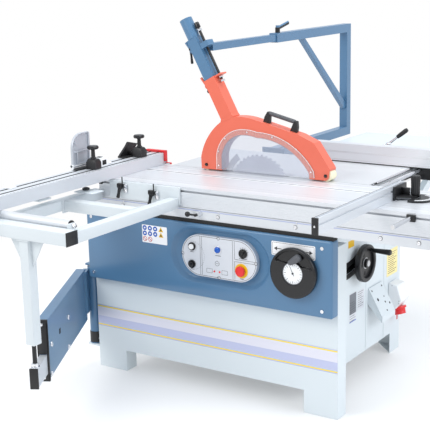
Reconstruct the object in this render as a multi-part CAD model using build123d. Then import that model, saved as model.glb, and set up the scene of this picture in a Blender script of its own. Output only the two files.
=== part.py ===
from build123d import *
import math
import os

os.makedirs("parts", exist_ok=True)

# Sliding-table panel saw. Millimetres, +Z up, X along the stroke of the sliding table, +Y away from
# the operator's side panel. The origin lies on the floor, midway between the two front anchor holes.

# --- Driving sizes: base ---------------------------------------------------------------------------
FRAME_W = 1190.0        # front frame, width over both feet
FRAME_DEPTH = 71.0      # folded depth of the front frame
FRAME_FRONT = -35.0     # front face of the front frame
FRAME_TOP = 700.0       # top of the base
SHEET = 4.0             # sheet thickness of frame and fascia
FOOT_W = 150.0
FOOT_H = 95.0
ANCHOR_X = 520.0        # front anchor holes at +/- this
ANCHOR_R = 6.0
REAR_ANCHOR_X = 415.0
REAR_ANCHOR_Y = 800.0
BODY_W = 924.0
BODY_REAR = 842.0
BODY_SHEET = 3.0
REAR_LEG_W = 100.0
FASCIA_BOTTOM = 424.0
FASCIA_TOP = 730.0
FASCIA_DEPTH = 48.0

# --- Driving sizes: tables -------------------------------------------------------------------------
TABLE_TOP = 875.0       # working height
TABLE_L = 1600.0        # sliding table, length
TABLE_X0 = -520.0       # its outfeed end at rest
TABLE_FRONT = -75.0
TABLE_H = 84.0
TABLE_EDGE = 290.0      # edge beside the blade
SLOT_Y = 162.0          # clamping slot in the top
SLOT_W = 12.0
SIDE_SLOT_Z = 856.0     # clamping slot in the side
GUIDE_X0 = -560.0
GUIDE_X1 = 1060.0
GUIDE_TOP = 788.0
GUIDE_H = 43.0
GUIDE_BACK = 115.0
MAIN_X0 = -400.0
MAIN_X1 = 565.0
MAIN_Y0 = 294.0
MAIN_Y1 = 760.0
MAIN_RIM = 34.0         # depth of the cast rim
MAIN_TOP_T = 10.0
EXT_X0 = -27.0
EXT_Y1 = 1500.0
EXT_H = 25.0

# --- Driving sizes: saw unit -----------------------------------------------------------------------
BLADE_Y = 295.0
BLADE_X = 54.0
BLADE_R = 150.0
BLADE_T = 3.2
BLADE_RISE = 84.0       # blade above the table at full height
BORE_R = 15.0
TEETH = 40
ARBOR_Z = TABLE_TOP + BLADE_RISE - BLADE_R
LOWERING = 95.0         # stroke of the rise and fall
MOTOR_DROP = 209.0      # motor axis below the arbor
COLUMN_R = 15.0
COLUMN_OFFSET = 60.0    # guide columns beside the blade plane
COLUMN_X = (-190.0, 330.0)
CHEEK_X = (-372.0, 412.0)
CHEEK_T = 12.0

# --- Driving sizes: guard and gantry ---------------------------------------------------------------
HOOD_W = 56.0
HOOD_WALL = 4.0
ROLLER_R = 24.0
TUBE_LEAN = 28.0        # degrees from vertical
TUBE_W = 51.0
SLEEVE_WALL = 3.0
GANTRY_X = -199.5
GANTRY_Z = 1401.0
ARM_W = 32.0            # inner arm
POST_W = 43.0           # outer arm and post
POST_Y = 1600.0

# --- Driving sizes: controls -----------------------------------------------------------------------
PLATE_X = 87.0
PLATE_Z = 600.0
PLATE_L = 358.0
PLATE_H = 172.0
TILT_WHEEL_X = 442.0
TILT_WHEEL_Z = 594.0
TILT_WHEEL_R = 100.0
RISE_WHEEL_Y = 405.0
RISE_WHEEL_Z = 515.0
RISE_WHEEL_R = 80.0

# --- Driving sizes: outrigger and swing arm --------------------------------------------------------
OUT_FRONT = -820.0      # front face of the outer cross tube
OUT_X0 = -560.0
OUT_X1 = -60.0
BEAM_TOP = 828.0
BEAM_H = 45.0
LEG_X = -272.0
LEG_Y = -790.0
LEG_W = 75.0
LEG_BOTTOM = 396.0
HINGE_Y = -10.0
ARM_REST = 28.1         # degrees, towards +X from straight ahead
SWING_OFFSET = 50.0     # arm's centre plane beside the hinge axis
SWING_REACH = 727.0
SWING_T = 40.0
SWING_Z0 = 210.0
SWING_Z1 = 445.0
ROD_REACH = 857.5

# --- Driving sizes: fences -------------------------------------------------------------------------
CROSS_X = -490.0        # centre line of the crosscut fence
CROSS_W = 100.0
CROSS_H = 52.0
CROSS_Y0 = -1080.0
CROSS_Y1 = 300.0
MITRE_X = 757.0
MITRE_W = 20.0
MITRE_H = 57.0
MITRE_Y0 = -519.0
MITRE_Y1 = 176.0
RIP_Y = 700.0
RIP_W = 50.0
RIP_H = 82.0
RIP_X0 = 95.0
RIP_X1 = 815.0
RAIL_R = 16.0

# --- Fits ------------------------------------------------------------------------------------------
SEAT = 0.3              # faces of neighbouring moving pieces
RUNNING = 0.05          # radial clearance of shafts


# --- Places and sizes of details -------------------------------------------------------------------
FRAME_BACK = FRAME_FRONT + FRAME_DEPTH
HALF = FRAME_W / 2
HINGE_X = -HALF - 37.0    # axis of the swing arm, beside the left foot
SHAFT_R = 9.0
# Arc in the side wall that the shaft of the height handwheel follows while the saw unit tilts.
ARC_DY = RISE_WHEEL_Y - BLADE_Y
ARC_DZ = TABLE_TOP - RISE_WHEEL_Z
ARC_R = math.hypot(ARC_DY, ARC_DZ)
ARC_REST = math.degrees(math.atan2(ARC_DY, ARC_DZ))
TILT_RANGE = 45.0
ARC_MARGIN = 4.0
DUST_X = 250.0
DUST_Z = 220.0
DUST_R = 50.0
RECESS = 3.0
PLATE_T = 4.0
FASCIA_FRONT = FRAME_FRONT - FASCIA_DEPTH
PLATE_BACK = FASCIA_FRONT + RECESS
PLATE_FRONT = PLATE_BACK - PLATE_T
START_AT = (-40.0, 634.0)
STOP_AT = (-42.0, 560.0)
BLUE_AT = (85.0, 635.0)
LED_AT = ((66.0, 543.0), (91.0, 543.0))
SELECTOR_AT = (204.0, 634.0)
ESTOP_AT = (194.0, 562.0)
BUTTON_R = 11.0
STEM_R = 8.0
CONTROL_HOLES = [(START_AT[0], START_AT[1], STEM_R + SEAT), (STOP_AT[0], STOP_AT[1], STEM_R + SEAT),
                 (SELECTOR_AT[0], SELECTOR_AT[1], STEM_R + SEAT), (ESTOP_AT[0], ESTOP_AT[1], STEM_R + SEAT)]
BUTTON_TRAVEL = 3.0
BAND_T = 0.6
INLET_Y = 762.0
INLET_Z = 270.0
GUIDE_BOLT_X = (-400.0, 78.0, 431.0, 784.0, 933.0)
INSERT_X0 = -218.0
INSERT_X1 = 200.0
INSERT_Y1 = 352.0
INSERT_EDGE = 299.5
RAIL_X = MAIN_X1 + 26.0
RAIL_Z = TABLE_TOP - 24.0
TRUNNION_R = 96.0
ARBOR_R = 12.0
PULLEY_W0 = 118.0
PULLEY_W1 = 144.0
SMALL_PULLEY_R = 30.0
LARGE_PULLEY_R = 38.0
MOTOR_R = 72.0
MOTOR_W0 = 152.0
KNIFE_T = 2.6
FOLD_Z = 60.0
FOLD_HALF = 16.0
GRIP_R = 62.0
GRIP_AT = 50.0
ROLLER_AT = ((384.0, TABLE_TOP + ROLLER_R + 0.5), (-196.0, TABLE_TOP + ROLLER_R + 0.5))
CROWN_END = (60.0, 1106.0)
NOSE_TOP = (262.0, 1058.0)
HANDLE_X = 160.0
PANE_T = 3.0
PANE_LAP = 24.0
PANE_FOOT = 884.0
DUCT_W = TUBE_W - 6
LEAN = math.radians(TUBE_LEAN)
TUBE_FOOT = (-90.0, 1112.0)
SLEEVE_L = 180.0
SLEEVE_W = TUBE_W + 2 * (SLEEVE_WALL + SEAT + 0.1)
TUBE_S0 = 120.0
TUBE_S1 = 368.0
SCREW_ACROSS = SLEEVE_W / 2 + 13
SCREW_R = 6.0
BRACKET_S = 318.0
OUTER_Y0 = 855.0
OUTRIGGER_LEVERS = ((-390.0, 852.0), (-228.0, 838.0))
ROLL_Y = -738.0
ROLL_R = 18.0
EAR_T = 11.0
ROLL_Z = TABLE_TOP - 0.5 - ROLL_R
PIVOT_Y = 200.0        # pivot pin of the crosscut fence
PIVOT_R = 6.0
STOP_X = CROSS_X + 8
STOP_Z = TABLE_TOP + SEAT + CROSS_H + SEAT
FLAP_X = STOP_X - 59
FLAP_PIVOT_Z = STOP_Z + 16
FLAP_PIN_R = 4.0
FLIP_Y = -150.0
SECOND_Y = 165.0
MITRE_Z = TABLE_TOP + SEAT
MITRE_PIVOT = (832.0, SLOT_Y - 32)
LOCK_X = -8.0
LOCK_Z = 770.0
EXT_HALF = 14.0
EXT_Z0 = 232.0
EXT_Z1 = 308.0
HEAD_X0 = MAIN_X1 + 10.0


# --- Small helpers ---------------------------------------------------------------------------------
def block(x0, x1, y0, y1, z0, z1):
    centre = Pos((x0 + x1) / 2, (y0 + y1) / 2, (z0 + z1) / 2)
    return centre * Box(x1 - x0, y1 - y0, z1 - z0)


def bar_x(x0, x1, y, z, r):
    return Pos((x0 + x1) / 2, y, z) * Rot(0, 90, 0) * Cylinder(r, x1 - x0)


def bar_y(y0, y1, x, z, r):
    return Pos(x, (y0 + y1) / 2, z) * Rot(90, 0, 0) * Cylinder(r, y1 - y0)


def bar_z(z0, z1, x, y, r):
    return Pos(x, y, (z0 + z1) / 2) * Cylinder(r, z1 - z0)


def face_y(y):
    """Sketch plane across Y: local x is X, local y is Z, extrusion runs towards -Y."""
    return Plane(origin=(0, y, 0), x_dir=(1, 0, 0), z_dir=(0, -1, 0))


def face_x(x):
    """Sketch plane across X: local x is Y, local y is Z, extrusion runs towards +X."""
    return Plane(origin=(x, 0, 0), x_dir=(0, 1, 0), z_dir=(1, 0, 0))


def prism_y(points, y0, y1):
    return extrude(face_y(y1) * Polygon(*points, align=None), y1 - y0, dir=(0, -1, 0))


def prism_x(points, x0, x1):
    return extrude(face_x(x0) * Polygon(*points, align=None), x1 - x0, dir=(1, 0, 0))


def prism_z(points, z0, z1):
    return extrude(Plane.XY.offset(z0) * Polygon(*points, align=None), z1 - z0, dir=(0, 0, 1))


def stadium_y(x, z, length, height, y0, y1):
    return extrude(face_y(y1) * Pos(x, z) * SlotOverall(length, height), y1 - y0, dir=(0, -1, 0))


def ring_y(y0, y1, x, z, r, bore):
    return bar_y(y0, y1, x, z, r) - bar_y(y0 - 1, y1 + 1, x, z, bore)


def ring_x(x0, x1, y, z, r, bore):
    return bar_x(x0, x1, y, z, r) - bar_x(x0 - 1, x1 + 1, y, z, bore)


def ring_z(z0, z1, x, y, r, bore):
    return bar_z(z0, z1, x, y, r) - bar_z(z0 - 1, z1 + 1, x, y, bore)


def save(name, *shapes):
    solids = [solid for shape in shapes for solid in shape.solids()]
    export_step(Compound(solids), f"parts/{name}.step")


# --- Base ------------------------------------------------------------------------------------------


def front_frame():
    foot = HALF - FOOT_W
    s = SHEET
    outline = [(-HALF, 0), (-foot, 0), (-foot, FOOT_H), (foot, FOOT_H), (foot, 0), (HALF, 0),
               (HALF, FRAME_TOP), (-HALF, FRAME_TOP)]
    hollow = [(-HALF + s, s), (-foot - s, s), (-foot - s, FOOT_H + s), (foot + s, FOOT_H + s),
              (foot + s, s), (HALF - s, s), (HALF - s, FRAME_TOP - s), (-HALF + s, FRAME_TOP - s)]
    frame = prism_y(outline, FRAME_FRONT, FRAME_BACK) - prism_y(hollow, FRAME_FRONT + s, FRAME_BACK + 1)
    for x in (-ANCHOR_X, ANCHOR_X):
        frame -= bar_z(-1, s + 1, x, 0, ANCHOR_R)
    return frame - bar_y(FRAME_FRONT - 1, FRAME_FRONT + s + 1, TILT_WHEEL_X, TILT_WHEEL_Z, SHAFT_R + SEAT)


def arc_band(half_width, x0, x1, margin):
    """Sector round the tilting axis, from the wheel's place at rest to its place at full tilt."""
    start = -90 + ARC_REST + margin
    sweep = TILT_RANGE + 2 * margin
    outer = ARC_R + half_width
    inner = ARC_R - half_width
    ring = ring_x(x0, x1, BLADE_Y, TABLE_TOP, outer, inner)
    reach = 2 * outer
    points = [(BLADE_Y, TABLE_TOP)]
    for step in range(4):
        a = math.radians(start - sweep * step / 3)
        points.append((BLADE_Y + reach * math.cos(a), TABLE_TOP + reach * math.sin(a)))
    return ring & prism_x(points, x0, x1)


def cabinet_body():
    half = BODY_W / 2
    t = BODY_SHEET
    y0 = FRAME_BACK
    body = block(-half, half, y0, BODY_REAR, FOOT_H, FRAME_TOP)
    body -= block(-half + t, half - t, y0 - 1, BODY_REAR - t, FOOT_H - 1, FRAME_TOP + 1)
    flange = 34.0
    for side in (-1, 1):
        inner = side * (half - flange)
        outer = side * half
        x0, x1 = sorted((inner, outer))
        body += block(x0, x1, y0, BODY_REAR, FRAME_TOP - t, FRAME_TOP)
        leg = block(side * half - (t if side > 0 else 0), side * half + (0 if side > 0 else t),
                    BODY_REAR - REAR_LEG_W, BODY_REAR, 0, FOOT_H)
        back_x = sorted((side * half, side * (half - REAR_LEG_W)))
        back = block(back_x[0], back_x[1], BODY_REAR - t, BODY_REAR, 0, FOOT_H)
        foot = prism_z([(side * half, BODY_REAR), (side * half, BODY_REAR - REAR_LEG_W),
                        (side * (half - REAR_LEG_W), BODY_REAR)], 0, t)
        foot -= bar_z(-1, t + 1, side * REAR_ANCHOR_X, REAR_ANCHOR_Y, ANCHOR_R)
        body += leg + back + foot
    body += block(-half, half, BODY_REAR - flange, BODY_REAR, FRAME_TOP - t, FRAME_TOP)
    body -= arc_band(SHAFT_R + 6, half - t - 1, half + 1, ARC_MARGIN)
    body -= bar_y(BODY_REAR - t - 1, BODY_REAR + 1, DUST_X, DUST_Z, DUST_R - 2)
    return body


def dust_port():
    flange = ring_y(BODY_REAR, BODY_REAR + 3, DUST_X, DUST_Z, DUST_R + 20, DUST_R - 2)
    return flange + ring_y(BODY_REAR, BODY_REAR + 60, DUST_X, DUST_Z, DUST_R, DUST_R - 2)


def fascia_panel():
    y0 = FRAME_FRONT - FASCIA_DEPTH
    shell = block(-HALF, HALF, y0, FRAME_FRONT, FASCIA_BOTTOM, FASCIA_TOP)
    front_edges = shell.faces().sort_by(Axis.Y)[0].edges()
    shell = fillet(front_edges, 16)
    shell -= block(-HALF + SHEET, HALF - SHEET, y0 + SHEET + 4, FRAME_FRONT + 1,
                   FASCIA_BOTTOM + SHEET, FASCIA_TOP - SHEET)
    shell -= stadium_y(PLATE_X, PLATE_Z, PLATE_L + 96, PLATE_H + 64, y0 - 1, y0 + RECESS)
    shell -= bar_y(y0 - 1, FRAME_FRONT, TILT_WHEEL_X, TILT_WHEEL_Z, SHAFT_R + SEAT)
    for x, z, r in CONTROL_HOLES:
        shell -= bar_y(y0 - 1, FRAME_FRONT, x, z, r)
    return shell


def control_plate():
    plate = stadium_y(PLATE_X, PLATE_Z, PLATE_L, PLATE_H, PLATE_FRONT, PLATE_BACK)
    for x, z, r in CONTROL_HOLES:
        plate -= bar_y(PLATE_FRONT - 1, PLATE_BACK + 1, x, z, r)
    collars = [ring_y(PLATE_FRONT - 3, PLATE_FRONT, x, z, r, STEM_R + SEAT)
               for (x, z), r in ((START_AT, 14.0), (STOP_AT, 14.0), (SELECTOR_AT, 15.0))]
    return [plate] + collars


def signal_lamps():
    lamps = [bar_y(PLATE_FRONT - 6, PLATE_FRONT, BLUE_AT[0], BLUE_AT[1], 13)]
    lamps += [bar_y(PLATE_FRONT - 4, PLATE_FRONT, x, z, 6) for x, z in LED_AT]
    return lamps


def push_button(at):
    x, z = at
    head = bar_y(PLATE_FRONT - 12, PLATE_FRONT - 3 - BUTTON_TRAVEL - SEAT, x, z, BUTTON_R)
    stem = bar_y(PLATE_FRONT - 8, PLATE_FRONT + 26, x, z, STEM_R)
    return head + stem


def emergency_stop():
    x, z = ESTOP_AT
    head = bar_y(PLATE_FRONT - 30, PLATE_FRONT - 18, x, z, 20)
    head = fillet(head.edges().sort_by(Axis.Y)[:1], 5)
    return head + bar_y(PLATE_FRONT - 18, PLATE_FRONT + 26, x, z, STEM_R)


def emergency_ring():
    x, z = ESTOP_AT
    return ring_y(PLATE_FRONT - 6, PLATE_FRONT, x, z, 26, STEM_R + SEAT)


def selector_switch():
    x, z = SELECTOR_AT
    knob = bar_y(PLATE_FRONT - 10, PLATE_FRONT - 3 - SEAT, x, z, 13)
    knob += block(x - 4, x + 4, PLATE_FRONT - 24, PLATE_FRONT - 9, z - 13, z + 13)
    return knob + bar_y(PLATE_FRONT - 8, PLATE_FRONT + 26, x, z, STEM_R)


def stripe_band():
    return block(-HALF, HALF, FRAME_FRONT - BAND_T, FRAME_FRONT, 190, 289)


def labels():
    t = 0.5
    side = BODY_W / 2
    front = FASCIA_FRONT
    return [block(-293, -165, front - t, front, 621, 697),
            block(333, 524, front - t, front, 648, 704) - bar_y(front - 2, front + 2, TILT_WHEEL_X,
                                                                  TILT_WHEEL_Z, SHAFT_R + 4),
            block(side, side + t, 700, 812, 370, 490),
            block(side, side + t, 330, 396, 262, 390),
            block(side, side + t, 404, 470, 300, 385)]


def arc_cover():
    side = BODY_W / 2
    band = arc_band(36, side, side + 2, 9.0)
    return band - arc_band(SHAFT_R + 6, side - 1, side + 3, ARC_MARGIN)


def accessory_bracket():
    side = BODY_W / 2
    profile = [(side, 366), (side + 4, 370), (side + 70, 250), (side + 70, 226), (side + 66, 226),
               (side + 66, 249), (side + 4, 361), (side, 361)]
    plate = prism_y(profile, 508, 640)
    ribs = [prism_y([(side, 361), (side + 3, 361), (side + 66, 249), (side + 66, 226), (side, 300)], y, y + 3)
            for y in (508, 637)]
    for rib in ribs:
        plate += rib
    return plate


def power_inlet():
    side = BODY_W / 2
    body = prism_y([(side, 225), (side + 34, 225), (side + 62, 262), (side + 40, 330), (side, 338)],
                   INLET_Y - 42, INLET_Y + 42)
    return fillet(body.edges().filter_by(Axis.Y), 6)


def inlet_socket():
    side = BODY_W / 2
    start = Pos(side + 34, INLET_Y, 225)
    return start * Pos(0, 0, -27) * (Cylinder(30, 54 - 0.6) - Pos(0, 0, -6) * Cylinder(25, 46))


# --- Tables ----------------------------------------------------------------------------------------
def guide_rail():
    y0 = TABLE_FRONT + 5
    z0 = GUIDE_TOP - GUIDE_H
    rail = block(GUIDE_X0, GUIDE_X1, y0, GUIDE_BACK, z0, GUIDE_TOP)
    rail -= block(GUIDE_X0 - 1, GUIDE_X1 + 1, y0 + 10, GUIDE_BACK - 10, z0 + 8, GUIDE_TOP - 8)
    rail -= block(GUIDE_X0 - 1, GUIDE_X1 + 1, 0, 40, GUIDE_TOP - 9, GUIDE_TOP + 1)
    feet = [block(x - 40, x + 40, y0 + 40, GUIDE_BACK, FRAME_TOP, z0) for x in (-420, 420)]
    return [rail] + feet


def guide_bolts():
    y = TABLE_FRONT + 5
    heads = [bar_y(y - 3, y, x, 765, 8) - bar_y(y - 4, y - 1.5, x, 765, 4) for x in GUIDE_BOLT_X]
    return heads + [bar_y(y - 1, y, x + 6, 781, 2.5) for x in GUIDE_BOLT_X]


def fascia_screws():
    y = FASCIA_FRONT
    return [bar_y(y - 3, y, x, z, 7) - bar_y(y - 4, y - 1.5, x, z, 3)
            for x, z in ((553, 700), (553, 452), (-566, 452), (-566, 700))]


def main_table():
    """Ribbed plate behind the blade opening, and the two edge bars bolted on in front of it."""
    table = block(MAIN_X0, MAIN_X1, MAIN_Y0, MAIN_Y1, TABLE_TOP - MAIN_RIM, TABLE_TOP)
    table -= block(MAIN_X0 + 12, MAIN_X1 - 12, MAIN_Y0 - 1, MAIN_Y1 - 12,
                   TABLE_TOP - MAIN_RIM - 1, TABLE_TOP - MAIN_TOP_T)
    for x in (-250, 250, 420):
        table += block(x - 4, x + 4, 420, MAIN_Y1 - 12, TABLE_TOP - MAIN_RIM, TABLE_TOP - MAIN_TOP_T)
    front = block(MAIN_X0 - 1, MAIN_X1 + 1, MAIN_Y0 - 1, INSERT_Y1, TABLE_TOP - MAIN_RIM - 1, TABLE_TOP + 1)
    opening = block(INSERT_X0, INSERT_X1, MAIN_Y0 - 1, INSERT_Y1, TABLE_TOP - MAIN_RIM - 1, TABLE_TOP + 1)
    return [table - front, *((table & front) - opening).solids()]


def table_insert():
    return block(INSERT_X0 + SEAT, INSERT_X1 - SEAT, INSERT_EDGE, INSERT_Y1 - SEAT,
                 TABLE_TOP - 5, TABLE_TOP)


def table_brackets():
    """Four uprights that carry the main table on the flanges of the cabinet."""
    half = BODY_W / 2
    z1 = TABLE_TOP - MAIN_RIM
    places = [(x, y) for x in (MAIN_X0 + 2, half - 12) for y in (560, MAIN_Y1 - 12)]
    return [block(x - 10, x + 10, y - 40, y + 10, FRAME_TOP, z1) for x, y in places]


def extension_table():
    y0 = MAIN_Y1 + 1
    z0 = TABLE_TOP - EXT_H
    sheet = block(EXT_X0, MAIN_X1, y0, EXT_Y1, z0, TABLE_TOP)
    return sheet - block(EXT_X0 + 3, MAIN_X1 - 3, y0 + 3, EXT_Y1 - 3, z0 - 1, TABLE_TOP - 3)


def extension_struts():
    """Two angle struts from the rear wall of the cabinet to the far rim of the extension table."""
    z1 = TABLE_TOP - EXT_H
    struts = []
    for x in (60, 430):
        struts.append(prism_x([(BODY_REAR, 560), (BODY_REAR, 520), (EXT_Y1 - 60, z1 - 30), (EXT_Y1 - 3, z1 - 30),
                               (EXT_Y1 - 3, z1), (EXT_Y1 - 100, z1)], x, x + 30))
    return struts


def fence_rail():
    y0 = MAIN_Y0 + 10
    rail = bar_y(y0, EXT_Y1, RAIL_X, RAIL_Z, RAIL_R)
    feet = [block(MAIN_X1, RAIL_X - RAIL_R + 3, y - 12, y + 12, RAIL_Z - 8, RAIL_Z + 8)
            for y in (340, 1460)]
    for foot in feet:
        rail += foot
    return rail


def scale_strip():
    return block(MAIN_X1 + 0.3, MAIN_X1 + 9, MAIN_Y0 + 20, 1440, TABLE_TOP - 4, TABLE_TOP - 1) - block(
        MAIN_X1 - 1, MAIN_X1 + 10, 325, 355, TABLE_TOP - 40, TABLE_TOP + 1)


# The sliding table is thick only as far as the tilted blade and its flange leave room.
def sliding_table():
    x1 = TABLE_X0 + TABLE_L
    z0 = TABLE_TOP - TABLE_H
    profile = [(TABLE_FRONT, TABLE_TOP), (TABLE_EDGE, TABLE_TOP), (TABLE_EDGE, TABLE_TOP - 2),
               (TABLE_EDGE - 20, TABLE_TOP - 8), (TABLE_EDGE - 28, TABLE_TOP - 13),
               (TABLE_EDGE - 99, z0), (TABLE_FRONT, z0)]
    table = prism_x(profile, TABLE_X0, x1)
    wall = 6.0
    for y0, y1 in ((TABLE_FRONT + wall, 20), (26, SLOT_Y - 22)):
        table -= block(TABLE_X0 - 1, x1 + 1, y0 + 8, y1, z0 + wall, TABLE_TOP - 16)
    table -= t_slot_top(SLOT_Y)
    table -= t_slot_side()
    return table + bar_z(TABLE_TOP - 5, TABLE_TOP + SEAT + 4, CROSS_X, PIVOT_Y, PIVOT_R)


def t_slot_top(y):
    x1 = TABLE_X0 + TABLE_L
    neck = block(TABLE_X0 - 1, x1 + 1, y - SLOT_W / 2, y + SLOT_W / 2, TABLE_TOP - 6, TABLE_TOP + 1)
    return neck + block(TABLE_X0 - 1, x1 + 1, y - SLOT_W, y + SLOT_W, TABLE_TOP - 15, TABLE_TOP - 5)


def t_slot_side():
    x1 = TABLE_X0 + TABLE_L
    z = SIDE_SLOT_Z
    neck = block(TABLE_X0 - 1, x1 + 1, TABLE_FRONT - 1, TABLE_FRONT + 4, z - 4, z + 4)
    return neck + block(TABLE_X0 - 1, x1 + 1, TABLE_FRONT + 3, TABLE_FRONT + 12, z - 8, z + 8)


# --- Saw unit --------------------------------------------------------------------------------------
def tilt_frame():
    """Two cheeks joined by a bottom bar, with brackets that hold the guide columns."""
    pieces = []
    y0 = BLADE_Y + 22
    y1 = BLADE_Y + 110
    top = TABLE_TOP - 46
    bottom = TABLE_TOP - 300
    for x in CHEEK_X:
        pieces.append(block(x, x + 12, y0, y1, bottom, top))
    a, b = CHEEK_X
    mid = BLADE_Y + COLUMN_OFFSET
    pieces.append(block(a + 12, b, mid - 24, mid + 24, bottom, bottom + 14))
    for x, side in zip(COLUMN_X, (a + 12, b)):
        x0, x1 = sorted((x - math.copysign(22, side - x), side))
        pieces.append(block(x0, x1, mid - 24, mid + 24, top - 14, top))
    frame = pieces[0]
    for piece in pieces[1:]:
        frame += piece
    for x in COLUMN_X:
        frame += bar_z(bottom + 14, top - 14, x, mid, COLUMN_R)
    frame -= bar_x(CHEEK_X[1] - 1, CHEEK_X[1] + 13, RISE_WHEEL_Y, RISE_WHEEL_Z, SHAFT_R + RUNNING)
    return frame


def rise_boss():
    """Bearing block for the shaft of the height handwheel, bolted under the right cheek."""
    x = CHEEK_X[1]
    z1 = TABLE_TOP - 300
    web = block(x, x + 12, RISE_WHEEL_Y - 30, RISE_WHEEL_Y + 20, RISE_WHEEL_Z - 22, z1)
    return web - bar_x(x - 1, x + 13, RISE_WHEEL_Y, RISE_WHEEL_Z, SHAFT_R + RUNNING)


def trunnion(x0, x1):
    """Cast quadrant under the main table, with an arc flange round the tilting axis."""
    y, z = BLADE_Y, TABLE_TOP
    ring = ring_x(x0, x1, y, z, TRUNNION_R, TRUNNION_R - 18)
    return ring & block(x0 - 1, x1 + 1, y + 6, y + 110, z - 110, z - MAIN_TOP_T)


def saw_head():
    mid = BLADE_Y + COLUMN_OFFSET
    z1 = TABLE_TOP - 92
    z0 = z1 - 60
    head = block(COLUMN_X[0] - 30, COLUMN_X[1] + 30, mid - 25, mid + 25, z0, z1)
    for x in COLUMN_X:
        head -= bar_z(z0 - 1, z1 + 1, x, mid, COLUMN_R + RUNNING)
    head += block(BLADE_X - 40, BLADE_X + 40, mid - 25, mid + 25, z1, ARBOR_Z)
    head += bar_y(BLADE_Y + 16, BLADE_Y + 112, BLADE_X, ARBOR_Z, 26)
    head += block(BLADE_X - 95, BLADE_X + 95, mid + 25, mid + 37, ARBOR_Z - MOTOR_DROP - 70, z1)
    head -= bar_y(BLADE_Y + 10, BLADE_Y + 120, BLADE_X, ARBOR_Z, ARBOR_R + RUNNING)
    head -= bar_y(mid + 20, mid + 40, BLADE_X, ARBOR_Z - MOTOR_DROP, 46)
    return head


def saw_motor():
    z = ARBOR_Z - MOTOR_DROP
    y0 = BLADE_Y + MOTOR_W0
    body = bar_y(y0, y0 + 190, BLADE_X, z, MOTOR_R)
    fins = bar_y(y0 + 190, y0 + 228, BLADE_X, z, MOTOR_R + 4)
    feet = block(BLADE_X - 60, BLADE_X + 60, BLADE_Y + COLUMN_OFFSET + 37, y0 + 20, z - MOTOR_R - 8, z - MOTOR_R + 14)
    box = block(BLADE_X + MOTOR_R - 10, BLADE_X + MOTOR_R + 30, y0 + 40, y0 + 130, z - 30, z + 40)
    return (body + fins + feet + box) - bar_y(y0 - 60, y0 + 60, BLADE_X, z, 10.05)


def motor_pulley():
    z = ARBOR_Z - MOTOR_DROP
    pulley = bar_y(BLADE_Y + PULLEY_W0, BLADE_Y + PULLEY_W1, BLADE_X, z, LARGE_PULLEY_R)
    return pulley + bar_y(BLADE_Y + PULLEY_W1, BLADE_Y + MOTOR_W0 + 50, BLADE_X, z, 10)


def arbor_shaft():
    shaft = bar_y(BLADE_Y - 10, BLADE_Y + PULLEY_W1, BLADE_X, ARBOR_Z, ARBOR_R)
    pulley = ring_y(BLADE_Y + PULLEY_W0, BLADE_Y + PULLEY_W1, BLADE_X, ARBOR_Z, SMALL_PULLEY_R, ARBOR_R - 1)
    return shaft + pulley


def blade_flanges():
    r = 28.0
    half = BLADE_T / 2
    inner = ring_y(BLADE_Y + half, BLADE_Y + 12, BLADE_X, ARBOR_Z, r, ARBOR_R)
    outer = ring_y(BLADE_Y - 9, BLADE_Y - half, BLADE_X, ARBOR_Z, r, ARBOR_R)
    return [inner, outer]


def saw_blade():
    """Disc with one raked tooth per pitch; each tooth rises to the full radius and drops steeply."""
    pitch = 360 / TEETH
    gullet = 9.0
    points = []
    for tooth in range(TEETH):
        a = tooth * pitch
        for turn, depth in ((0.0, gullet), (0.18, gullet), (0.30, 0.0), (0.52, 1.5)):
            angle = math.radians(a + turn * pitch)
            r = BLADE_R - depth
            points.append((BLADE_X + r * math.cos(angle), ARBOR_Z + r * math.sin(angle)))
    blade = prism_y(points, BLADE_Y - BLADE_T / 2, BLADE_Y + BLADE_T / 2)
    blade -= bar_y(BLADE_Y - 5, BLADE_Y + 5, BLADE_X, ARBOR_Z, ARBOR_R)
    return blade


def sector_points(x, z, r_in, r_out, a0, a1, steps=10):
    angles = [math.radians(a0 + (a1 - a0) * i / steps) for i in range(steps + 1)]
    outer = [(x + r_out * math.cos(a), z + r_out * math.sin(a)) for a in angles]
    inner = [(x + r_in * math.cos(a), z + r_in * math.sin(a)) for a in reversed(angles)]
    return outer + inner


def riving_knife():
    points = sector_points(BLADE_X, ARBOR_Z, BLADE_R + 4, BLADE_R + 32, 128, 196)
    knife = prism_y(points, BLADE_Y - KNIFE_T / 2, BLADE_Y + KNIFE_T / 2)
    a = math.radians(196)
    x = BLADE_X + (BLADE_R + 4) * math.cos(a)
    z = ARBOR_Z + (BLADE_R + 18) * math.sin(a)
    foot = block(x - 30, x - 2, BLADE_Y + KNIFE_T / 2, BLADE_Y + COLUMN_OFFSET - 25, z - 16, z + 16)
    return [knife, foot]


def dust_shroud():
    """Sheet trough round the lower half of the blade, narrow above and wide below."""
    y0 = BLADE_Y - 20
    y1 = BLADE_Y + 14
    z_top = TABLE_TOP - 160
    z_bottom = ARBOR_Z - BLADE_R - 22
    x0 = BLADE_X - BLADE_R - 14
    x1 = BLADE_X + BLADE_R + 14
    trough = block(x0, x1, y0, y1, z_bottom, z_top) - block(x0 + 2, x1 - 2, y0 + 2, y1 - 2, z_bottom + 2, z_top + 1)
    arm = block(BLADE_X + 60, BLADE_X + 90, y1, BLADE_Y + COLUMN_OFFSET + 25, z_top - 30, z_top - 10)
    return [trough, arm]


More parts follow.
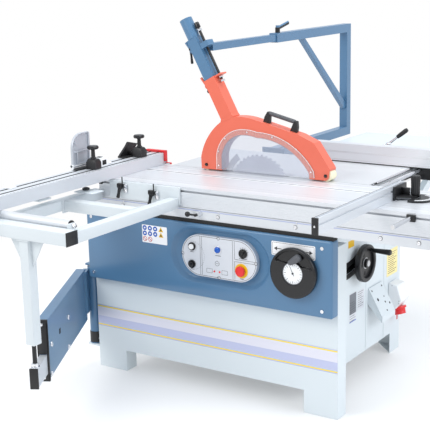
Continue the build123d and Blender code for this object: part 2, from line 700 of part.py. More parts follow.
def drive_belt():
    """Flat ribbed belt round both pulleys, with straight outer runs."""
    y0 = BLADE_Y + PULLEY_W0 + 3
    y1 = BLADE_Y + PULLEY_W1 - 3
    z_low = ARBOR_Z - MOTOR_DROP
    spread = math.asin((LARGE_PULLEY_R - SMALL_PULLEY_R) / MOTOR_DROP)

    def loop(extra):
        small = SMALL_PULLEY_R + extra
        large = LARGE_PULLEY_R + extra
        c, s = math.cos(spread), math.sin(spread)
        p1 = (BLADE_X + small * c, ARBOR_Z + small * s)
        p2 = (BLADE_X + large * c, z_low + large * s)
        p3 = (BLADE_X - large * c, z_low + large * s)
        p4 = (BLADE_X - small * c, ARBOR_Z + small * s)
        path = (Line(p4, p3) + ThreePointArc(p3, (BLADE_X, z_low - large), p2) + Line(p2, p1)
                + ThreePointArc(p1, (BLADE_X, ARBOR_Z + small), p4))
        return extrude(face_y(y1) * make_face(path), y1 - y0, dir=(0, -1, 0))

    return loop(4.0) - loop(SEAT)


# --- Handwheels ------------------------------------------------------------------------------------
def tilt_handwheel():
    x, z = TILT_WHEEL_X, TILT_WHEEL_Z
    y0 = FASCIA_FRONT
    wheel = bar_y(y0 - 34, y0 - 8, x, z, TILT_WHEEL_R)
    wheel = fillet(wheel.edges(), 6)
    wheel -= bar_y(y0 - 35, y0 - 30, x, z, 44)
    fold = block(x - FOLD_HALF, x + FOLD_HALF, y0 - 40, y0 - 14, z + 48, z + 88)
    wheel -= fold
    return wheel + bar_y(y0 - 10, FRAME_FRONT + 40, x, z, SHAFT_R)


def tilt_indicator():
    return bar_y(FASCIA_FRONT - 36, FASCIA_FRONT - 30, TILT_WHEEL_X, TILT_WHEEL_Z, 43.5)


def tilt_wheel_grip():
    """Grip folded into its recess; it turns out about a cross pin near the hub."""
    x, z = TILT_WHEEL_X, TILT_WHEEL_Z
    y = FASCIA_FRONT - 26
    grip = block(x - 9, x + 9, y - 9, y + 9, z + FOLD_Z - 6, z + 84)
    grip = fillet(grip.edges().filter_by(Axis.Z), 6)
    return grip + bar_x(x - FOLD_HALF + SEAT, x + FOLD_HALF - SEAT, y, z + FOLD_Z, 3)


def rise_handwheel():
    y, z = RISE_WHEEL_Y, RISE_WHEEL_Z
    x0 = BODY_W / 2 + 24
    rim = ring_x(x0, x0 + 26, y, z, RISE_WHEEL_R, RISE_WHEEL_R - 18)
    rim = fillet(rim.edges(), 5)
    web = bar_x(x0 + 6, x0 + 14, y, z, RISE_WHEEL_R - 12)
    hub = bar_x(x0 - 6, x0 + 26, y, z, 20)
    shaft = bar_x(CHEEK_X[1] - 20, x0, y, z, SHAFT_R)
    return rim + web + hub + shaft - grip_hole(x0)


def grip_axis():
    a = math.radians(GRIP_AT)
    return RISE_WHEEL_Y + GRIP_R * math.cos(a), RISE_WHEEL_Z + GRIP_R * math.sin(a)


def grip_hole(x0):
    y, z = grip_axis()
    return bar_x(x0 - 1, x0 + 30, y, z, 5 + RUNNING)


def rise_wheel_grip():
    y, z = grip_axis()
    x0 = BODY_W / 2 + 24
    grip = Pos(x0 + 27 + 42, y, z) * Rot(0, 90, 0) * Cone(9, 12, 84)
    return grip + bar_x(x0 + 2, x0 + 30, y, z, 5)


# --- Guard -----------------------------------------------------------------------------------------
def hood_outer_face():
    """Side view of the guard: round back, long straight top, sloping nose and a small toe."""
    back_top = (-78, 1112)
    toe = (402, 928)
    heel = (344, 880)
    foot = (-222, 880)
    path = Polyline(foot, (-224, 930))
    path += ThreePointArc((-224, 930), (-172, 1040), back_top)
    path += ThreePointArc(back_top, (-10, 1117), CROWN_END)
    path += Polyline(CROWN_END, NOSE_TOP, (330, 1030), toe, (398, 902))
    path += ThreePointArc((398, 902), (394, 887), (384, 880))
    path += Polyline((384, 880), heel, foot)
    return face_y(0) * make_face(path)


def hood_window_face():
    """Side view of the opening that the clear pane covers, run down past the foot."""
    path = Polyline((-118, 860), (-118, 940))
    path += ThreePointArc((-118, 940), (-88, 1004), (-20, 1040))
    path += ThreePointArc((-20, 1040), (20, 1041), (60, 1034))
    path += ThreePointArc((60, 1034), (230, 984), (308, 905))
    path += Polyline((308, 905), (312, 860), (-118, 860))
    return face_y(0) * make_face(path)


def hood_prism(face, y0, y1):
    return Pos(0, y1, 0) * extrude(face, y1 - y0, dir=(0, -1, 0))


def hood_shell():
    """Two arched side plates joined by a rim that follows their outer edge, open at the foot."""
    y0 = BLADE_Y - HOOD_W / 2
    y1 = BLADE_Y + HOOD_W / 2
    shell = hood_prism(hood_outer_face(), y0, y1) - hood_prism(hood_window_face(), y0 - 1, y1 + 1)
    arch = hood_outer_face() - hood_window_face()
    core = hood_prism(offset(arch, -HOOD_WALL, kind=Kind.INTERSECTION), y0 + HOOD_WALL, y1 - HOOD_WALL)
    shell -= core
    shell -= Pos(0, 0, -2 * HOOD_WALL) * (core & block(-400, 500, y0, y1, 880, 880 + 4 * HOOD_WALL))
    for x, z in ROLLER_AT:
        shell -= bar_y(y0 + HOOD_WALL, y1 - HOOD_WALL, x, z, ROLLER_R + 2)
        shell -= bar_y(y0 - 1, y1 + 1, x, z, 5 + RUNNING)
    return shell - square_along(-DUCT_W, SLEEVE_WALL + 7, DUCT_W)


def hood_roller(at):
    x, z = at
    width = HOOD_W / 2 - HOOD_WALL - 1
    wheel = bar_y(BLADE_Y - width, BLADE_Y + width, x, z, ROLLER_R)
    return wheel + bar_y(BLADE_Y - HOOD_W / 2 - 3, BLADE_Y + HOOD_W / 2 + 3, x, z, 5)


def hood_window():
    """Clear pane lapped over the near opening."""
    y0 = BLADE_Y - HOOD_W / 2 - PANE_T
    pane = hood_prism(offset(hood_window_face(), PANE_LAP), y0, y0 + PANE_T)
    return pane & block(-400, 500, y0 - 1, y0 + PANE_T + 1, PANE_FOOT, 1200)


def along_tube(s, across=0.0):
    """Point a distance s up the inclined tube and a distance across it, towards +X."""
    x = TUBE_FOOT[0] - s * math.sin(LEAN) + across * math.cos(LEAN)
    z = TUBE_FOOT[1] + s * math.cos(LEAN) + across * math.sin(LEAN)
    return x, z


def leaning(s, across=0.0):
    x, z = along_tube(s, across)
    return Pos(x, BLADE_Y, z) * Rot(0, -TUBE_LEAN, 0)


def square_along(s0, s1, width, across=0.0):
    return leaning((s0 + s1) / 2, across) * Box(width, width, s1 - s0)


def hood_sleeve():
    sleeve = square_along(4, SLEEVE_L, SLEEVE_W)
    sleeve -= square_along(SLEEVE_WALL + 6, SLEEVE_L + 2, TUBE_W + 2 * (SEAT + 0.1))
    sleeve -= square_along(-DUCT_W, SLEEVE_WALL + 7, DUCT_W)
    sleeve -= hood_prism(hood_outer_face(), BLADE_Y - 60, BLADE_Y + 60)
    lug = leaning(SLEEVE_L - 4, SLEEVE_W / 2 + 16) * Box(32, SLEEVE_W - 10, 6)
    lug -= leaning(SLEEVE_L - 4, SCREW_ACROSS) * Cylinder(SCREW_R + RUNNING, 10)
    lever = clamp_lever(leaning(SLEEVE_L - 20, -SLEEVE_W / 2) * Rot(0, -90, 0))
    return [sleeve, lug, lever]


def extraction_tube():
    tube = square_along(TUBE_S0, TUBE_S1, TUBE_W) - square_along(TUBE_S0 - 1, TUBE_S1 + 1, TUBE_W - 6)
    collar = leaning(TUBE_S1 + 45) * (Cylinder(28, 90) - Cylinder(25, 92))
    lever = clamp_lever(leaning(BRACKET_S + 8, -TUBE_W / 2) * Rot(0, -90, 0))
    return [tube, collar, lever]


def gantry_bracket():
    """Lug on the inclined tube that takes the screw and the end of the inner arm."""
    across = TUBE_W / 2 + 21
    lug = leaning(BRACKET_S, across) * Box(42, 46, 24)
    return lug - leaning(BRACKET_S, SCREW_ACROSS) * Cylinder(SCREW_R + RUNNING, 30)


def height_screw():
    length = 340.0
    rod = leaning(SLEEVE_L - 24 + length / 2, SCREW_ACROSS) * Cylinder(SCREW_R, length)
    head = leaning(SLEEVE_L - 24 + length, SCREW_ACROSS) * Cylinder(12, 12)
    nut = leaning(SLEEVE_L - 16, SCREW_ACROSS) * Cylinder(10, 12)
    return rod + head + nut


def hood_handle():
    """Bow handle: two feet on the hood rim and a round grip between them."""
    slope = (NOSE_TOP[1] - CROWN_END[1]) / (NOSE_TOP[0] - CROWN_END[0])
    rim_z = CROWN_END[1] + slope * (HANDLE_X - CROWN_END[0])
    place = Pos(HANDLE_X, BLADE_Y, rim_z) * Rot(0, -math.degrees(math.atan(slope)), 0)
    feet = [place * Pos(side * 66, 0, 17) * Box(24, 26, 34) for side in (-1, 1)]
    grip = place * Pos(0, 0, 40) * Rot(0, 90, 0) * Cylinder(9, 150)
    return [feet[0] + feet[1] + grip]


def gantry_inner_arm():
    half = ARM_W / 2
    x, z = GANTRY_X, GANTRY_Z
    y0 = BLADE_Y + 23.5
    tube = block(x - half, x + half, y0, 1240, z - half, z + half)
    return tube - block(x - half + 3, x + half - 3, y0 + 10, 1241, z - half + 3, z + half - 3)


def gantry_frame():
    half = POST_W / 2
    x, z = GANTRY_X, GANTRY_Z
    bore = ARM_W / 2 + SEAT
    arm = block(x - half, x + half, OUTER_Y0, POST_Y + half, z - half, z + half)
    arm -= block(x - bore, x + bore, OUTER_Y0 - 1, POST_Y - half, z - bore, z + bore)
    arm -= bar_z(z, z + half + 1, x, OUTER_Y0 + 40, 6.0)
    low = TABLE_TOP - 14
    post = block(x - half, x + half, POST_Y - half, POST_Y + half, low + half, z - half)
    lower = block(x - half, x + half, BODY_REAR + 12, POST_Y + half, low - half, low + half)
    brace = prism_x([(1110, z - half), (1142, z - half), (POST_Y - half, 1015), (POST_Y - half, 975)],
                    x - 12, x + 12)
    foot = block(x - 60, x + 60, BODY_REAR, BODY_REAR + 12, 560, low + half)
    gusset = prism_x([(BODY_REAR + 12, 600), (BODY_REAR + 12, low - half), (BODY_REAR + 260, low - half)],
                     x - 6, x + 6)
    lever = clamp_lever(Pos(x, OUTER_Y0 + 40, z + half) * Rot(0, 0, 90), reach=100.0, boss_h=34.0)
    return [arm, post, lower, brace, foot, gusset, lever]


def clamp_lever(place, reach=46.0, boss_h=18.0):
    """Adjustable clamping lever: boss along local Z and an arm that rises along local X."""
    body = Pos(0, 0, SEAT + boss_h / 2) * Cylinder(9, boss_h)
    arm = Pos(reach / 2, 0, boss_h) * Rot(0, 78, 0) * Cylinder(5.5, reach)
    return place * (body + arm)


# --- Outrigger, swing arm --------------------------------------------------------------------------
def outrigger_frame():
    z1 = BEAM_TOP
    z0 = z1 - BEAM_H
    y_in = TABLE_FRONT - 10
    y_out = OUT_FRONT + 60
    tube_z = (800, 850)
    parts = [block(OUT_X0, OUT_X1, OUT_FRONT, y_out, *tube_z)]
    for x0, x1 in ((OUT_X0 + 20, OUT_X0 + 65), (OUT_X1 - 85, OUT_X1 - 40)):
        parts.append(block(x0, x1, y_out, y_in, z0, z1))
    parts.append(block(OUT_X0 + 65, OUT_X1 - 85, -340, -290, z0, z1))
    parts.append(block(-455, -95, y_in, TABLE_FRONT, TABLE_TOP - TABLE_H + 7, TABLE_TOP - 4))
    for x, z in OUTRIGGER_LEVERS:
        parts.append(clamp_lever(Pos(x, y_in, z) * Rot(90, 0, 0) * Rot(0, 0, 130), reach=40.0))
    return parts


def outrigger_leg():
    half = LEG_W / 2
    leg = block(LEG_X - half, LEG_X + half, LEG_Y - 30, LEG_Y + 30, LEG_BOTTOM, 800)
    leg -= block(LEG_X - half + 4, LEG_X + half - 4, LEG_Y - 26, LEG_Y + 26, LEG_BOTTOM + 6, 799)
    gussets = []
    for side in (-1, 1):
        x0 = LEG_X + side * half
        gussets.append(prism_y([(x0, 800), (x0 + side * 75, 800), (x0, 640)], LEG_Y - 2, LEG_Y + 2))
    return [leg] + gussets


def outrigger_roller():
    return bar_x(OUT_X0 + EAR_T + SEAT, OUT_X1 - 45 - SEAT, ROLL_Y, ROLL_Z, ROLL_R)


def roller_brackets():
    """Ears on the outer cross tube that hold the roller's axle."""
    ears = []
    for x0, x1 in ((OUT_X0, OUT_X0 + EAR_T), (OUT_X1 - 45, OUT_X1 - 34)):
        ear = block(x0, x1, OUT_FRONT + 60, ROLL_Y + 12, 829, ROLL_Z + 10)
        ears.append(ear)
    return ears


def crosscut_fence():
    half = CROSS_W / 2
    z0 = TABLE_TOP + SEAT
    x = CROSS_X
    fence = block(x - half, x + half, CROSS_Y0, CROSS_Y1, z0, z0 + CROSS_H)
    fence -= block(x - half + 5, x + half - 5, CROSS_Y0 - 1, CROSS_Y1 + 1, z0 + 5, z0 + CROSS_H - 16)
    for dx in (-26, 18):
        fence -= block(x + dx - 5, x + dx + 5, CROSS_Y0 - 1, CROSS_Y1 + 1, z0 + CROSS_H - 12, z0 + CROSS_H + 1)
    return fence - bar_z(z0 - 1, z0 + 6, x, PIVOT_Y, PIVOT_R + RUNNING)


def fence_end_piece():
    """Red splinter guard on the blade end of the crosscut fence."""
    x, z0 = CROSS_X, TABLE_TOP + SEAT
    half = CROSS_W / 2
    plate = block(x - half, x + half + 4, CROSS_Y1, CROSS_Y1 + 5, z0, z0 + CROSS_H + 10)
    return plate + block(x + half + 4, x + half + 24, CROSS_Y1 - 4, CROSS_Y1 + 5, z0, z0 + 6)


def stop_housing(y):
    """Housing clamped on the fence, its shoe strip behind it and its mushroom knob."""
    body = block(STOP_X - 34, STOP_X + 30, y - 24, y + 24, STOP_Z, STOP_Z + 44)
    body = fillet(body.edges().filter_by(Axis.Z), 5)
    body += bar_z(STOP_Z + 44, STOP_Z + 82, STOP_X, y, 9)
    body += bar_z(STOP_Z + 82, STOP_Z + 98, STOP_X, y, 25)
    return body + block(STOP_X - 66, STOP_X - 30, y - 72, y + 53, STOP_Z, STOP_Z + 5)


def flip_stop(y):
    """Stop housing with the pin of its flap and the carrier of its sight glass."""
    body = stop_housing(y)
    for y0 in (y - 72, y + 47):
        body += block(STOP_X - 66, STOP_X - 50, y0, y0 + 6, STOP_Z, FLAP_PIVOT_Z + 8)
    body += bar_y(y - 72, y + 53, FLAP_X, FLAP_PIVOT_Z, FLAP_PIN_R)
    carrier = block(STOP_X - 30, STOP_X + 12, y + 24, y + 78, STOP_Z, STOP_Z + 42)
    return [body, carrier]


def stop_flap(y):
    """Cast flap turned up on its pin, with one rounded upper corner."""
    y0 = y - 66 + SEAT
    y1 = y + 47 - SEAT
    top = STOP_Z + 148
    path = Polyline((y1, FLAP_PIVOT_Z - 8), (y1, top), (y0 + 80, top))
    path += ThreePointArc((y0 + 80, top), (y0 + 20, top - 26), (y0, top - 80))
    path += Polyline((y0, top - 80), (y0, FLAP_PIVOT_Z - 8), (y1, FLAP_PIVOT_Z - 8))
    plate = extrude(face_x(FLAP_X - 5) * make_face(path), 10, dir=(1, 0, 0))
    return plate - bar_y(y - 80, y + 60, FLAP_X, FLAP_PIVOT_Z, FLAP_PIN_R + RUNNING)


def second_stop(y):
    """Second stop with its flap clamped in the raised position."""
    plate = prism_x([(y - 76, STOP_Z + 5), (y - 22, STOP_Z + 47), (y - 6, STOP_Z + 60), (y + 60, STOP_Z + 46),
                     (y + 26, STOP_Z + 20), (y - 12, STOP_Z + 5)], FLAP_X - 5, FLAP_X + 5)
    return stop_housing(y) + plate


def mitre_fence():
    half = MITRE_W / 2
    x = MITRE_X
    z1 = MITRE_Z + MITRE_H
    fence = block(x - half, x + half, MITRE_Y0 + 4, MITRE_Y1, MITRE_Z, z1)
    fence -= block(x + half - 5, x + half + 1, MITRE_Y0, MITRE_Y1 + 1, z1 - 26, z1 - 18)
    fence -= block(x - 4, x + 4, MITRE_Y0, MITRE_Y1 + 1, z1 - 7, z1 + 1)
    return fence


def mitre_end_cap():
    half = MITRE_W / 2
    return block(MITRE_X - half, MITRE_X + half, MITRE_Y0, MITRE_Y0 + 4, MITRE_Z, MITRE_Z + MITRE_H + 1)


def mitre_protractor():
    """Half-round scale plate clamped to the table slot, with its pivot pin."""
    x, y = MITRE_PIVOT
    plate = bar_z(MITRE_Z, MITRE_Z + 8, x + 8, y, 62) & block(x - 6, x + 90, y - 70, y + 70, 800, 960)
    pin = bar_z(MITRE_Z + 8, MITRE_Z + 60, x, y, 6)
    key = bar_z(TABLE_TOP - 12, MITRE_Z, x, SLOT_Y, 5)
    return plate + pin + key


def mitre_head():
    """Angle bracket screwed to the fence that turns on the protractor's pin."""
    x, y = MITRE_PIVOT
    x0 = MITRE_X + MITRE_W / 2
    z0 = MITRE_Z + 8.3
    plate = block(x0, x0 + 8, y - 58, y + 44, MITRE_Z, MITRE_Z + MITRE_H - 6)
    arm = prism_z([(x0 + 8, y - 50), (x0 + 8, y + 40), (x + 14, y + 14), (x + 14, y - 14)], z0, z0 + 7)
    web = block(x0 + 8, x - 18, y - 3, y + 3, z0 + 7, z0 + 34)
    return (plate + arm + web) - bar_z(z0 - 1, z0 + 10, x, y, 6 + RUNNING)


def mitre_handle():
    """Clamping handle that screws down on the pivot pin."""
    x, y = MITRE_PIVOT
    z0 = MITRE_Z + 16
    body = bar_z(z0, z0 + 74, x, y, 15) - bar_z(z0 - 1, z0 + 46, x, y, 6 + RUNNING)
    return fillet(body.edges().sort_by(Axis.Z)[-1:], 5)


def push_rod():
    """Chromed push handle held in the side slot of the sliding table."""
    rod = bar_y(TABLE_FRONT - 160, TABLE_FRONT - 6, 905, SIDE_SLOT_Z, 8)
    nut = block(893, 917, TABLE_FRONT - 6, TABLE_FRONT - 0.3, SIDE_SLOT_Z - 9, SIDE_SLOT_Z + 9)
    stem = bar_y(TABLE_FRONT - 1, TABLE_FRONT + 8, 905, SIDE_SLOT_Z, 3.7)
    return rod + nut + stem


def table_lock_housing():
    y = TABLE_FRONT + 5
    return ring_y(y - 24, y, LOCK_X, LOCK_Z, 12, 6 + RUNNING)


def table_lock_knob():
    """Ball lever on the lock spindle."""
    y = TABLE_FRONT + 5
    stem = bar_y(y - 34, y - 2, LOCK_X, LOCK_Z, 6)
    arm = bar_x(LOCK_X - 34, LOCK_X - 3, y - 29, LOCK_Z, 4)
    ball = Pos(LOCK_X - 40, y - 29, LOCK_Z) * Rot(0, 90, 0) * Sphere(11)
    return stem + arm + ball


def hinge_bracket():
    """Plates on the left flank of the front frame and the pin that the swing arm turns on."""
    plates = []
    for z in (92, 462):
        plate = block(HINGE_X - 26, -HALF, HINGE_Y - 22, HINGE_Y + 22, z - 4, z + 4)
        plates.append(plate)
    pin = bar_z(SWING_Z0 - 122, 466, HINGE_X, HINGE_Y, 10)
    return [plates[0] + plates[1] + pin]


ARM_PLACE = Pos(HINGE_X, HINGE_Y, 0) * Rot(0, 0, ARM_REST)


def swing_arm():
    """Hinge tube and box arm; the arm lies beside the hinge axis, along local -Y."""
    tube = bar_z(102, 452, 0, 0, 26) - bar_z(90, 470, 0, 0, 10 + RUNNING)
    x0 = -SWING_OFFSET - SWING_T / 2
    x1 = -SWING_OFFSET + SWING_T / 2
    box = block(x0, x1, -SWING_REACH, -30, SWING_Z0, SWING_Z1)
    w = 3.0
    slot = EXT_HALF + SEAT
    box -= block(-SWING_OFFSET - slot, -SWING_OFFSET + slot, -SWING_REACH - 1, -60, EXT_Z0 - SEAT, EXT_Z1 + SEAT)
    box -= block(x0 + w, x1 - w, -SWING_REACH + w, -60, EXT_Z1 + 10, SWING_Z1 - w)
    web = block(x1 - 12, -18, -66, -8, 250, SWING_Z1 - 4)
    web -= bar_z(90, 470, 0, 0, 20)
    return ARM_PLACE * (tube + box + web)


def arm_end_frame():
    """Black plastic frame on the open end of the swing arm."""
    x0 = -SWING_OFFSET - SWING_T / 2
    x1 = -SWING_OFFSET + SWING_T / 2
    frame = block(x0 - 1, x1 + 1, -SWING_REACH - 8, -SWING_REACH, SWING_Z0 - 8, SWING_Z1 + 1)
    slot = EXT_HALF + SEAT
    frame -= block(-SWING_OFFSET - slot, -SWING_OFFSET + slot, -SWING_REACH - 9, -SWING_REACH + 1,
                   EXT_Z0 - SEAT, EXT_Z1 + SEAT)
    return ARM_PLACE * frame


def arm_foot_cap():
    tube = ring_z(96.5, 101.7, 0, 0, 28, 10 + SEAT)
    return ARM_PLACE * tube


def arm_extension():
    """Aluminium profile that telescopes in the swing arm and carries the outrigger's leg."""
    bar = block(-SWING_OFFSET - EXT_HALF, -SWING_OFFSET + EXT_HALF, -ROD_REACH - 22, -360, EXT_Z0, EXT_Z1)
    return ARM_PLACE * bar


def extension_cap():
    cap = block(-SWING_OFFSET - EXT_HALF - 2, -SWING_OFFSET + EXT_HALF + 2, -ROD_REACH - 28, -ROD_REACH - 22,
                EXT_Z0 - 3, EXT_Z1 + 1)
    return ARM_PLACE * cap


def support_rod():
    """Threaded rod with its nut, from the arm's extension up to the foot of the outrigger's leg."""
    rod = bar_z(EXT_Z1, LEG_BOTTOM - 0.5, -SWING_OFFSET, -ROD_REACH, 8)
    nut = bar_z(EXT_Z1, EXT_Z1 + 14, -SWING_OFFSET, -ROD_REACH, 13)
    return ARM_PLACE * (rod + nut)


# --- Rip fence -------------------------------------------------------------------------------------
def rip_fence():
    z0 = TABLE_TOP + SEAT
    z1 = z0 + RIP_H
    fence = prism_y([(RIP_X0, z1), (RIP_X0 + 6, z1), (RIP_X1, z1), (RIP_X1, z0), (RIP_X0 + 60, z0), (RIP_X0, z0 + 50)],
                    RIP_Y, RIP_Y + RIP_W)
    fence -= block(RIP_X0 - 1, RIP_X1 + 1, RIP_Y + 5, RIP_Y + RIP_W - 5, z0 + 5, z1 - 16)
    fence -= block(RIP_X0 - 1, RIP_X1 + 1, RIP_Y + RIP_W - 6, RIP_Y + RIP_W + 1, z0 + 30, z0 + 42)
    return fence


def fence_head():
    """Cast head that rides on the round rail, with an arm behind the fence profile."""
    z1 = TABLE_TOP + 30
    y0 = RIP_Y + RIP_W + SEAT
    head = block(HEAD_X0, HEAD_X0 + 130, y0, y0 + 110, RAIL_Z - 34, z1 - 20)
    head += block(HEAD_X0 - 200, HEAD_X0 + 60, y0, y0 + 40, TABLE_TOP + 2, z1 + 40)
    head -= bar_y(y0 - 1, y0 + 130, RAIL_X, RAIL_Z, RAIL_R + RUNNING)
    return head


def fence_lever():
    """Eccentric clamping lever of the fence profile: chromed stem, black grip."""
    x, y, z = 430.0, RIP_Y + RIP_W + 22, TABLE_TOP + 70 + SEAT
    boss = Pos(x, y, z + 9) * Cylinder(11, 18)
    stem = Pos(x, y, z + 14) * Rot(0, 52, 0) * Pos(0, 0, 28) * Cylinder(5, 56)
    grip = Pos(x, y, z + 14) * Rot(0, 52, 0) * Pos(0, 0, 82) * Cylinder(9, 60)
    return boss + stem + grip


def head_knob():
    """Star knob that clamps the fence head on its rail."""
    y = RIP_Y + RIP_W + SEAT + 55
    x0 = HEAD_X0 + 130
    return bar_x(x0 + SEAT, x0 + 14, y, RAIL_Z, 8) + bar_x(x0 + 14, x0 + 44, y, RAIL_Z, 24)


# --- Write every node ------------------------------------------------------------------------------
save("front_frame", front_frame())
save("cabinet_body", cabinet_body(), dust_port())
save("fascia_panel", fascia_panel())
save("control_plate", *control_plate(), emergency_ring())
save("signal_lamps", *signal_lamps())
save("start_button", push_button(START_AT))
save("stop_button", push_button(STOP_AT))
save("emergency_stop", emergency_stop())
save("selector_switch", selector_switch())
save("decals", stripe_band(), *labels())
save("arc_cover", arc_cover())
save("accessory_bracket", accessory_bracket())
save("power_inlet", power_inlet(), inlet_socket())
save("guide_rail", *guide_rail(), table_lock_housing())
save("screws", *guide_bolts(), *fascia_screws())
save("main_table", *main_table(), *table_brackets())
save("table_insert", table_insert())
save("extension_table", extension_table(), *extension_struts())
save("fence_rail", fence_rail(), scale_strip())
save("sliding_table", sliding_table())
save("push_rod", push_rod())
save("tilt_frame", tilt_frame(), rise_boss())
save("trunnions", trunnion(CHEEK_X[0] - 14, CHEEK_X[0] - SEAT),
     trunnion(CHEEK_X[1] + CHEEK_T + SEAT, CHEEK_X[1] + CHEEK_T + 14))
save("saw_head", saw_head())
save("saw_motor", saw_motor())
save("motor_pulley", motor_pulley())
save("arbor_shaft", arbor_shaft(), *blade_flanges())
save("saw_blade", saw_blade())
save("riving_knife", *riving_knife())
save("dust_shroud", *dust_shroud())
save("drive_belt", drive_belt())
save("tilt_handwheel", tilt_handwheel())
save("tilt_indicator", tilt_indicator())
save("tilt_wheel_grip", tilt_wheel_grip())
save("rise_handwheel", rise_handwheel())
save("rise_wheel_grip", rise_wheel_grip())
save("hood_shell", hood_shell(), *hood_sleeve())
save("hood_window", hood_window())
save("hood_handle", *hood_handle())
save("front_hood_roller", hood_roller(ROLLER_AT[0]))
save("rear_hood_roller", hood_roller(ROLLER_AT[1]))
save("height_screw", height_screw())
save("extraction_tube", *extraction_tube(), gantry_bracket(), gantry_inner_arm())
save("gantry_frame", *gantry_frame())
save("outrigger_frame", *outrigger_frame(), *outrigger_leg(), *roller_brackets())
save("outrigger_roller", outrigger_roller())
save("crosscut_fence", crosscut_fence(), fence_end_piece())
save("flip_stop", *flip_stop(FLIP_Y))
save("stop_flap", stop_flap(FLIP_Y))
save("second_stop", second_stop(SECOND_Y))
save("mitre_fence", mitre_fence(), mitre_end_cap(), mitre_head())
save("mitre_protractor", mitre_protractor())
save("mitre_handle", mitre_handle())
save("table_lock_knob", table_lock_knob())
save("swing_arm", swing_arm(), arm_end_frame(), arm_foot_cap())
save("arm_extension", arm_extension(), extension_cap(), support_rod())
save("hinge_bracket", *hinge_bracket())
save("rip_fence", rip_fence())
save("fence_head", fence_head(), head_knob())
save("fence_lever", fence_lever())
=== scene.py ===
import math

import bmesh
import bpy
import numpy as np
from mathutils import Matrix, Vector


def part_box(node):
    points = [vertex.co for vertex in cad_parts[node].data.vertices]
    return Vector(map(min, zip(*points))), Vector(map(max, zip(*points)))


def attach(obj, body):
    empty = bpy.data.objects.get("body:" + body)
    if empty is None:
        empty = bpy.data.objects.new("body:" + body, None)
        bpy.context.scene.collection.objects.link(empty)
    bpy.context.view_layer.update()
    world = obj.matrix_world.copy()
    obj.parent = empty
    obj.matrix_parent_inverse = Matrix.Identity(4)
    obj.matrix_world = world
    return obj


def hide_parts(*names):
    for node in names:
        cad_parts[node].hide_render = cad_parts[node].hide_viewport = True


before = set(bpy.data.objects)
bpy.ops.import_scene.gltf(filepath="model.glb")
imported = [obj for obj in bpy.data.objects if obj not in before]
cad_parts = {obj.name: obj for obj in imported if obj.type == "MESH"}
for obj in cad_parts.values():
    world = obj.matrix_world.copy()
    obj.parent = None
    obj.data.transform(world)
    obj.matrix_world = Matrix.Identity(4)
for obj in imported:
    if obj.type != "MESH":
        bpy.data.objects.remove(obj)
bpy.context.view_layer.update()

# Shapes below are worked out in millimetres in the frame of the machine: X along the stroke of the
# sliding table, Y away from the operator's panel, Z up. A piece is scaled to metres when it is made.
MM = 0.001
SHARP = 32.0


def span(node):
    """Lowest and highest corner of a CAD node, in millimetres."""
    lo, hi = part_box(node)
    return np.array(lo) / MM, np.array(hi) / MM


# --- Shapes ----------------------------------------------------------------------------------------
def grid(points, close_u=False, close_v=False):
    """Quads over an array of points P(u, v), closed where a parameter runs full circle."""
    nu, nv = points.shape[:2]
    i = np.arange(nu if close_u else nu - 1)[:, None]
    j = np.arange(nv if close_v else nv - 1)[None, :]
    i1, j1 = (i + 1) % nu, (j + 1) % nv
    quads = np.stack([i * nv + j, i1 * nv + j, i1 * nv + j1, i * nv + j1], axis=-1)
    return points.reshape(-1, 3), quads.reshape(-1, 4).tolist()


def join(*shapes):
    """One shape from several."""
    points, faces, start = [], [], 0
    for shape_points, shape_faces in shapes:
        points.append(shape_points)
        faces += [[k + start for k in face] for face in shape_faces]
        start += len(shape_points)
    return np.concatenate(points), faces


def axes_of(direction):
    """Three unit vectors at right angles, the last along the direction."""
    w = np.array(direction, float)
    w /= np.linalg.norm(w)
    side = np.array([0.0, 0.0, 1.0]) if abs(w[2]) < 0.9 else np.array([1.0, 0.0, 0.0])
    u = np.cross(side, w)
    u /= np.linalg.norm(u)
    return u, np.cross(w, u), w


def lathe(profile, base, axis, steps=40):
    """Surface of revolution: P = base + r(s)·(u cos t + v sin t) + h(s)·w, with its ends closed."""
    r, h = np.array(profile, float).T
    u, v, w = axes_of(axis)
    t = np.linspace(0, 2 * np.pi, steps, endpoint=False)
    ring = np.cos(t)[:, None] * u + np.sin(t)[:, None] * v
    points = np.array(base, float) + r[:, None, None] * ring + h[:, None, None] * w
    points, faces = grid(points, close_v=True)
    last = (len(r) - 1) * steps
    faces += [list(range(steps))[::-1], [last + k for k in range(steps)]]
    return points, faces


def rod(start, end, radius, chamfer=0.8, steps=32):
    """Round bar between two points: a lathe profile of constant radius whose two ends are chamfered."""
    start, end = np.array(start, float), np.array(end, float)
    length = np.linalg.norm(end - start)
    profile = [(0, 0), (radius - chamfer, 0), (radius, chamfer), (radius, length - chamfer),
               (radius - chamfer, length), (0, length)]
    return lathe(profile, start, end - start, steps)


def disc(centre, axis, radius, height, edge=0.6, steps=40):
    """Low round button along the axis: radius r - e + e cos t at height h - e + e sin t, t over 90 degrees."""
    t = np.linspace(0, np.pi / 2, 4)
    rounding = [(radius - edge + edge * math.cos(a), height - edge + edge * math.sin(a)) for a in t]
    return lathe([(0, 0), (radius, 0)] + rounding + [(0, height)], centre, axis, steps)


def prism(outline, a0, a1, axis):
    """Closed outline carried straight along one axis: P(s, k) = (outline k, a0 or a1), with flat ends."""
    outline = np.array(outline, float)
    n = len(outline)
    points = np.zeros((2, n, 3))
    others = [k for k in range(3) if k != axis]
    points[:, :, others[0]] = outline[:, 0]
    points[:, :, others[1]] = outline[:, 1]
    points[0, :, axis], points[1, :, axis] = a0, a1
    points, faces = grid(points, close_v=True)
    return points, faces + [list(range(n)), list(range(2 * n - 1, n - 1, -1))]


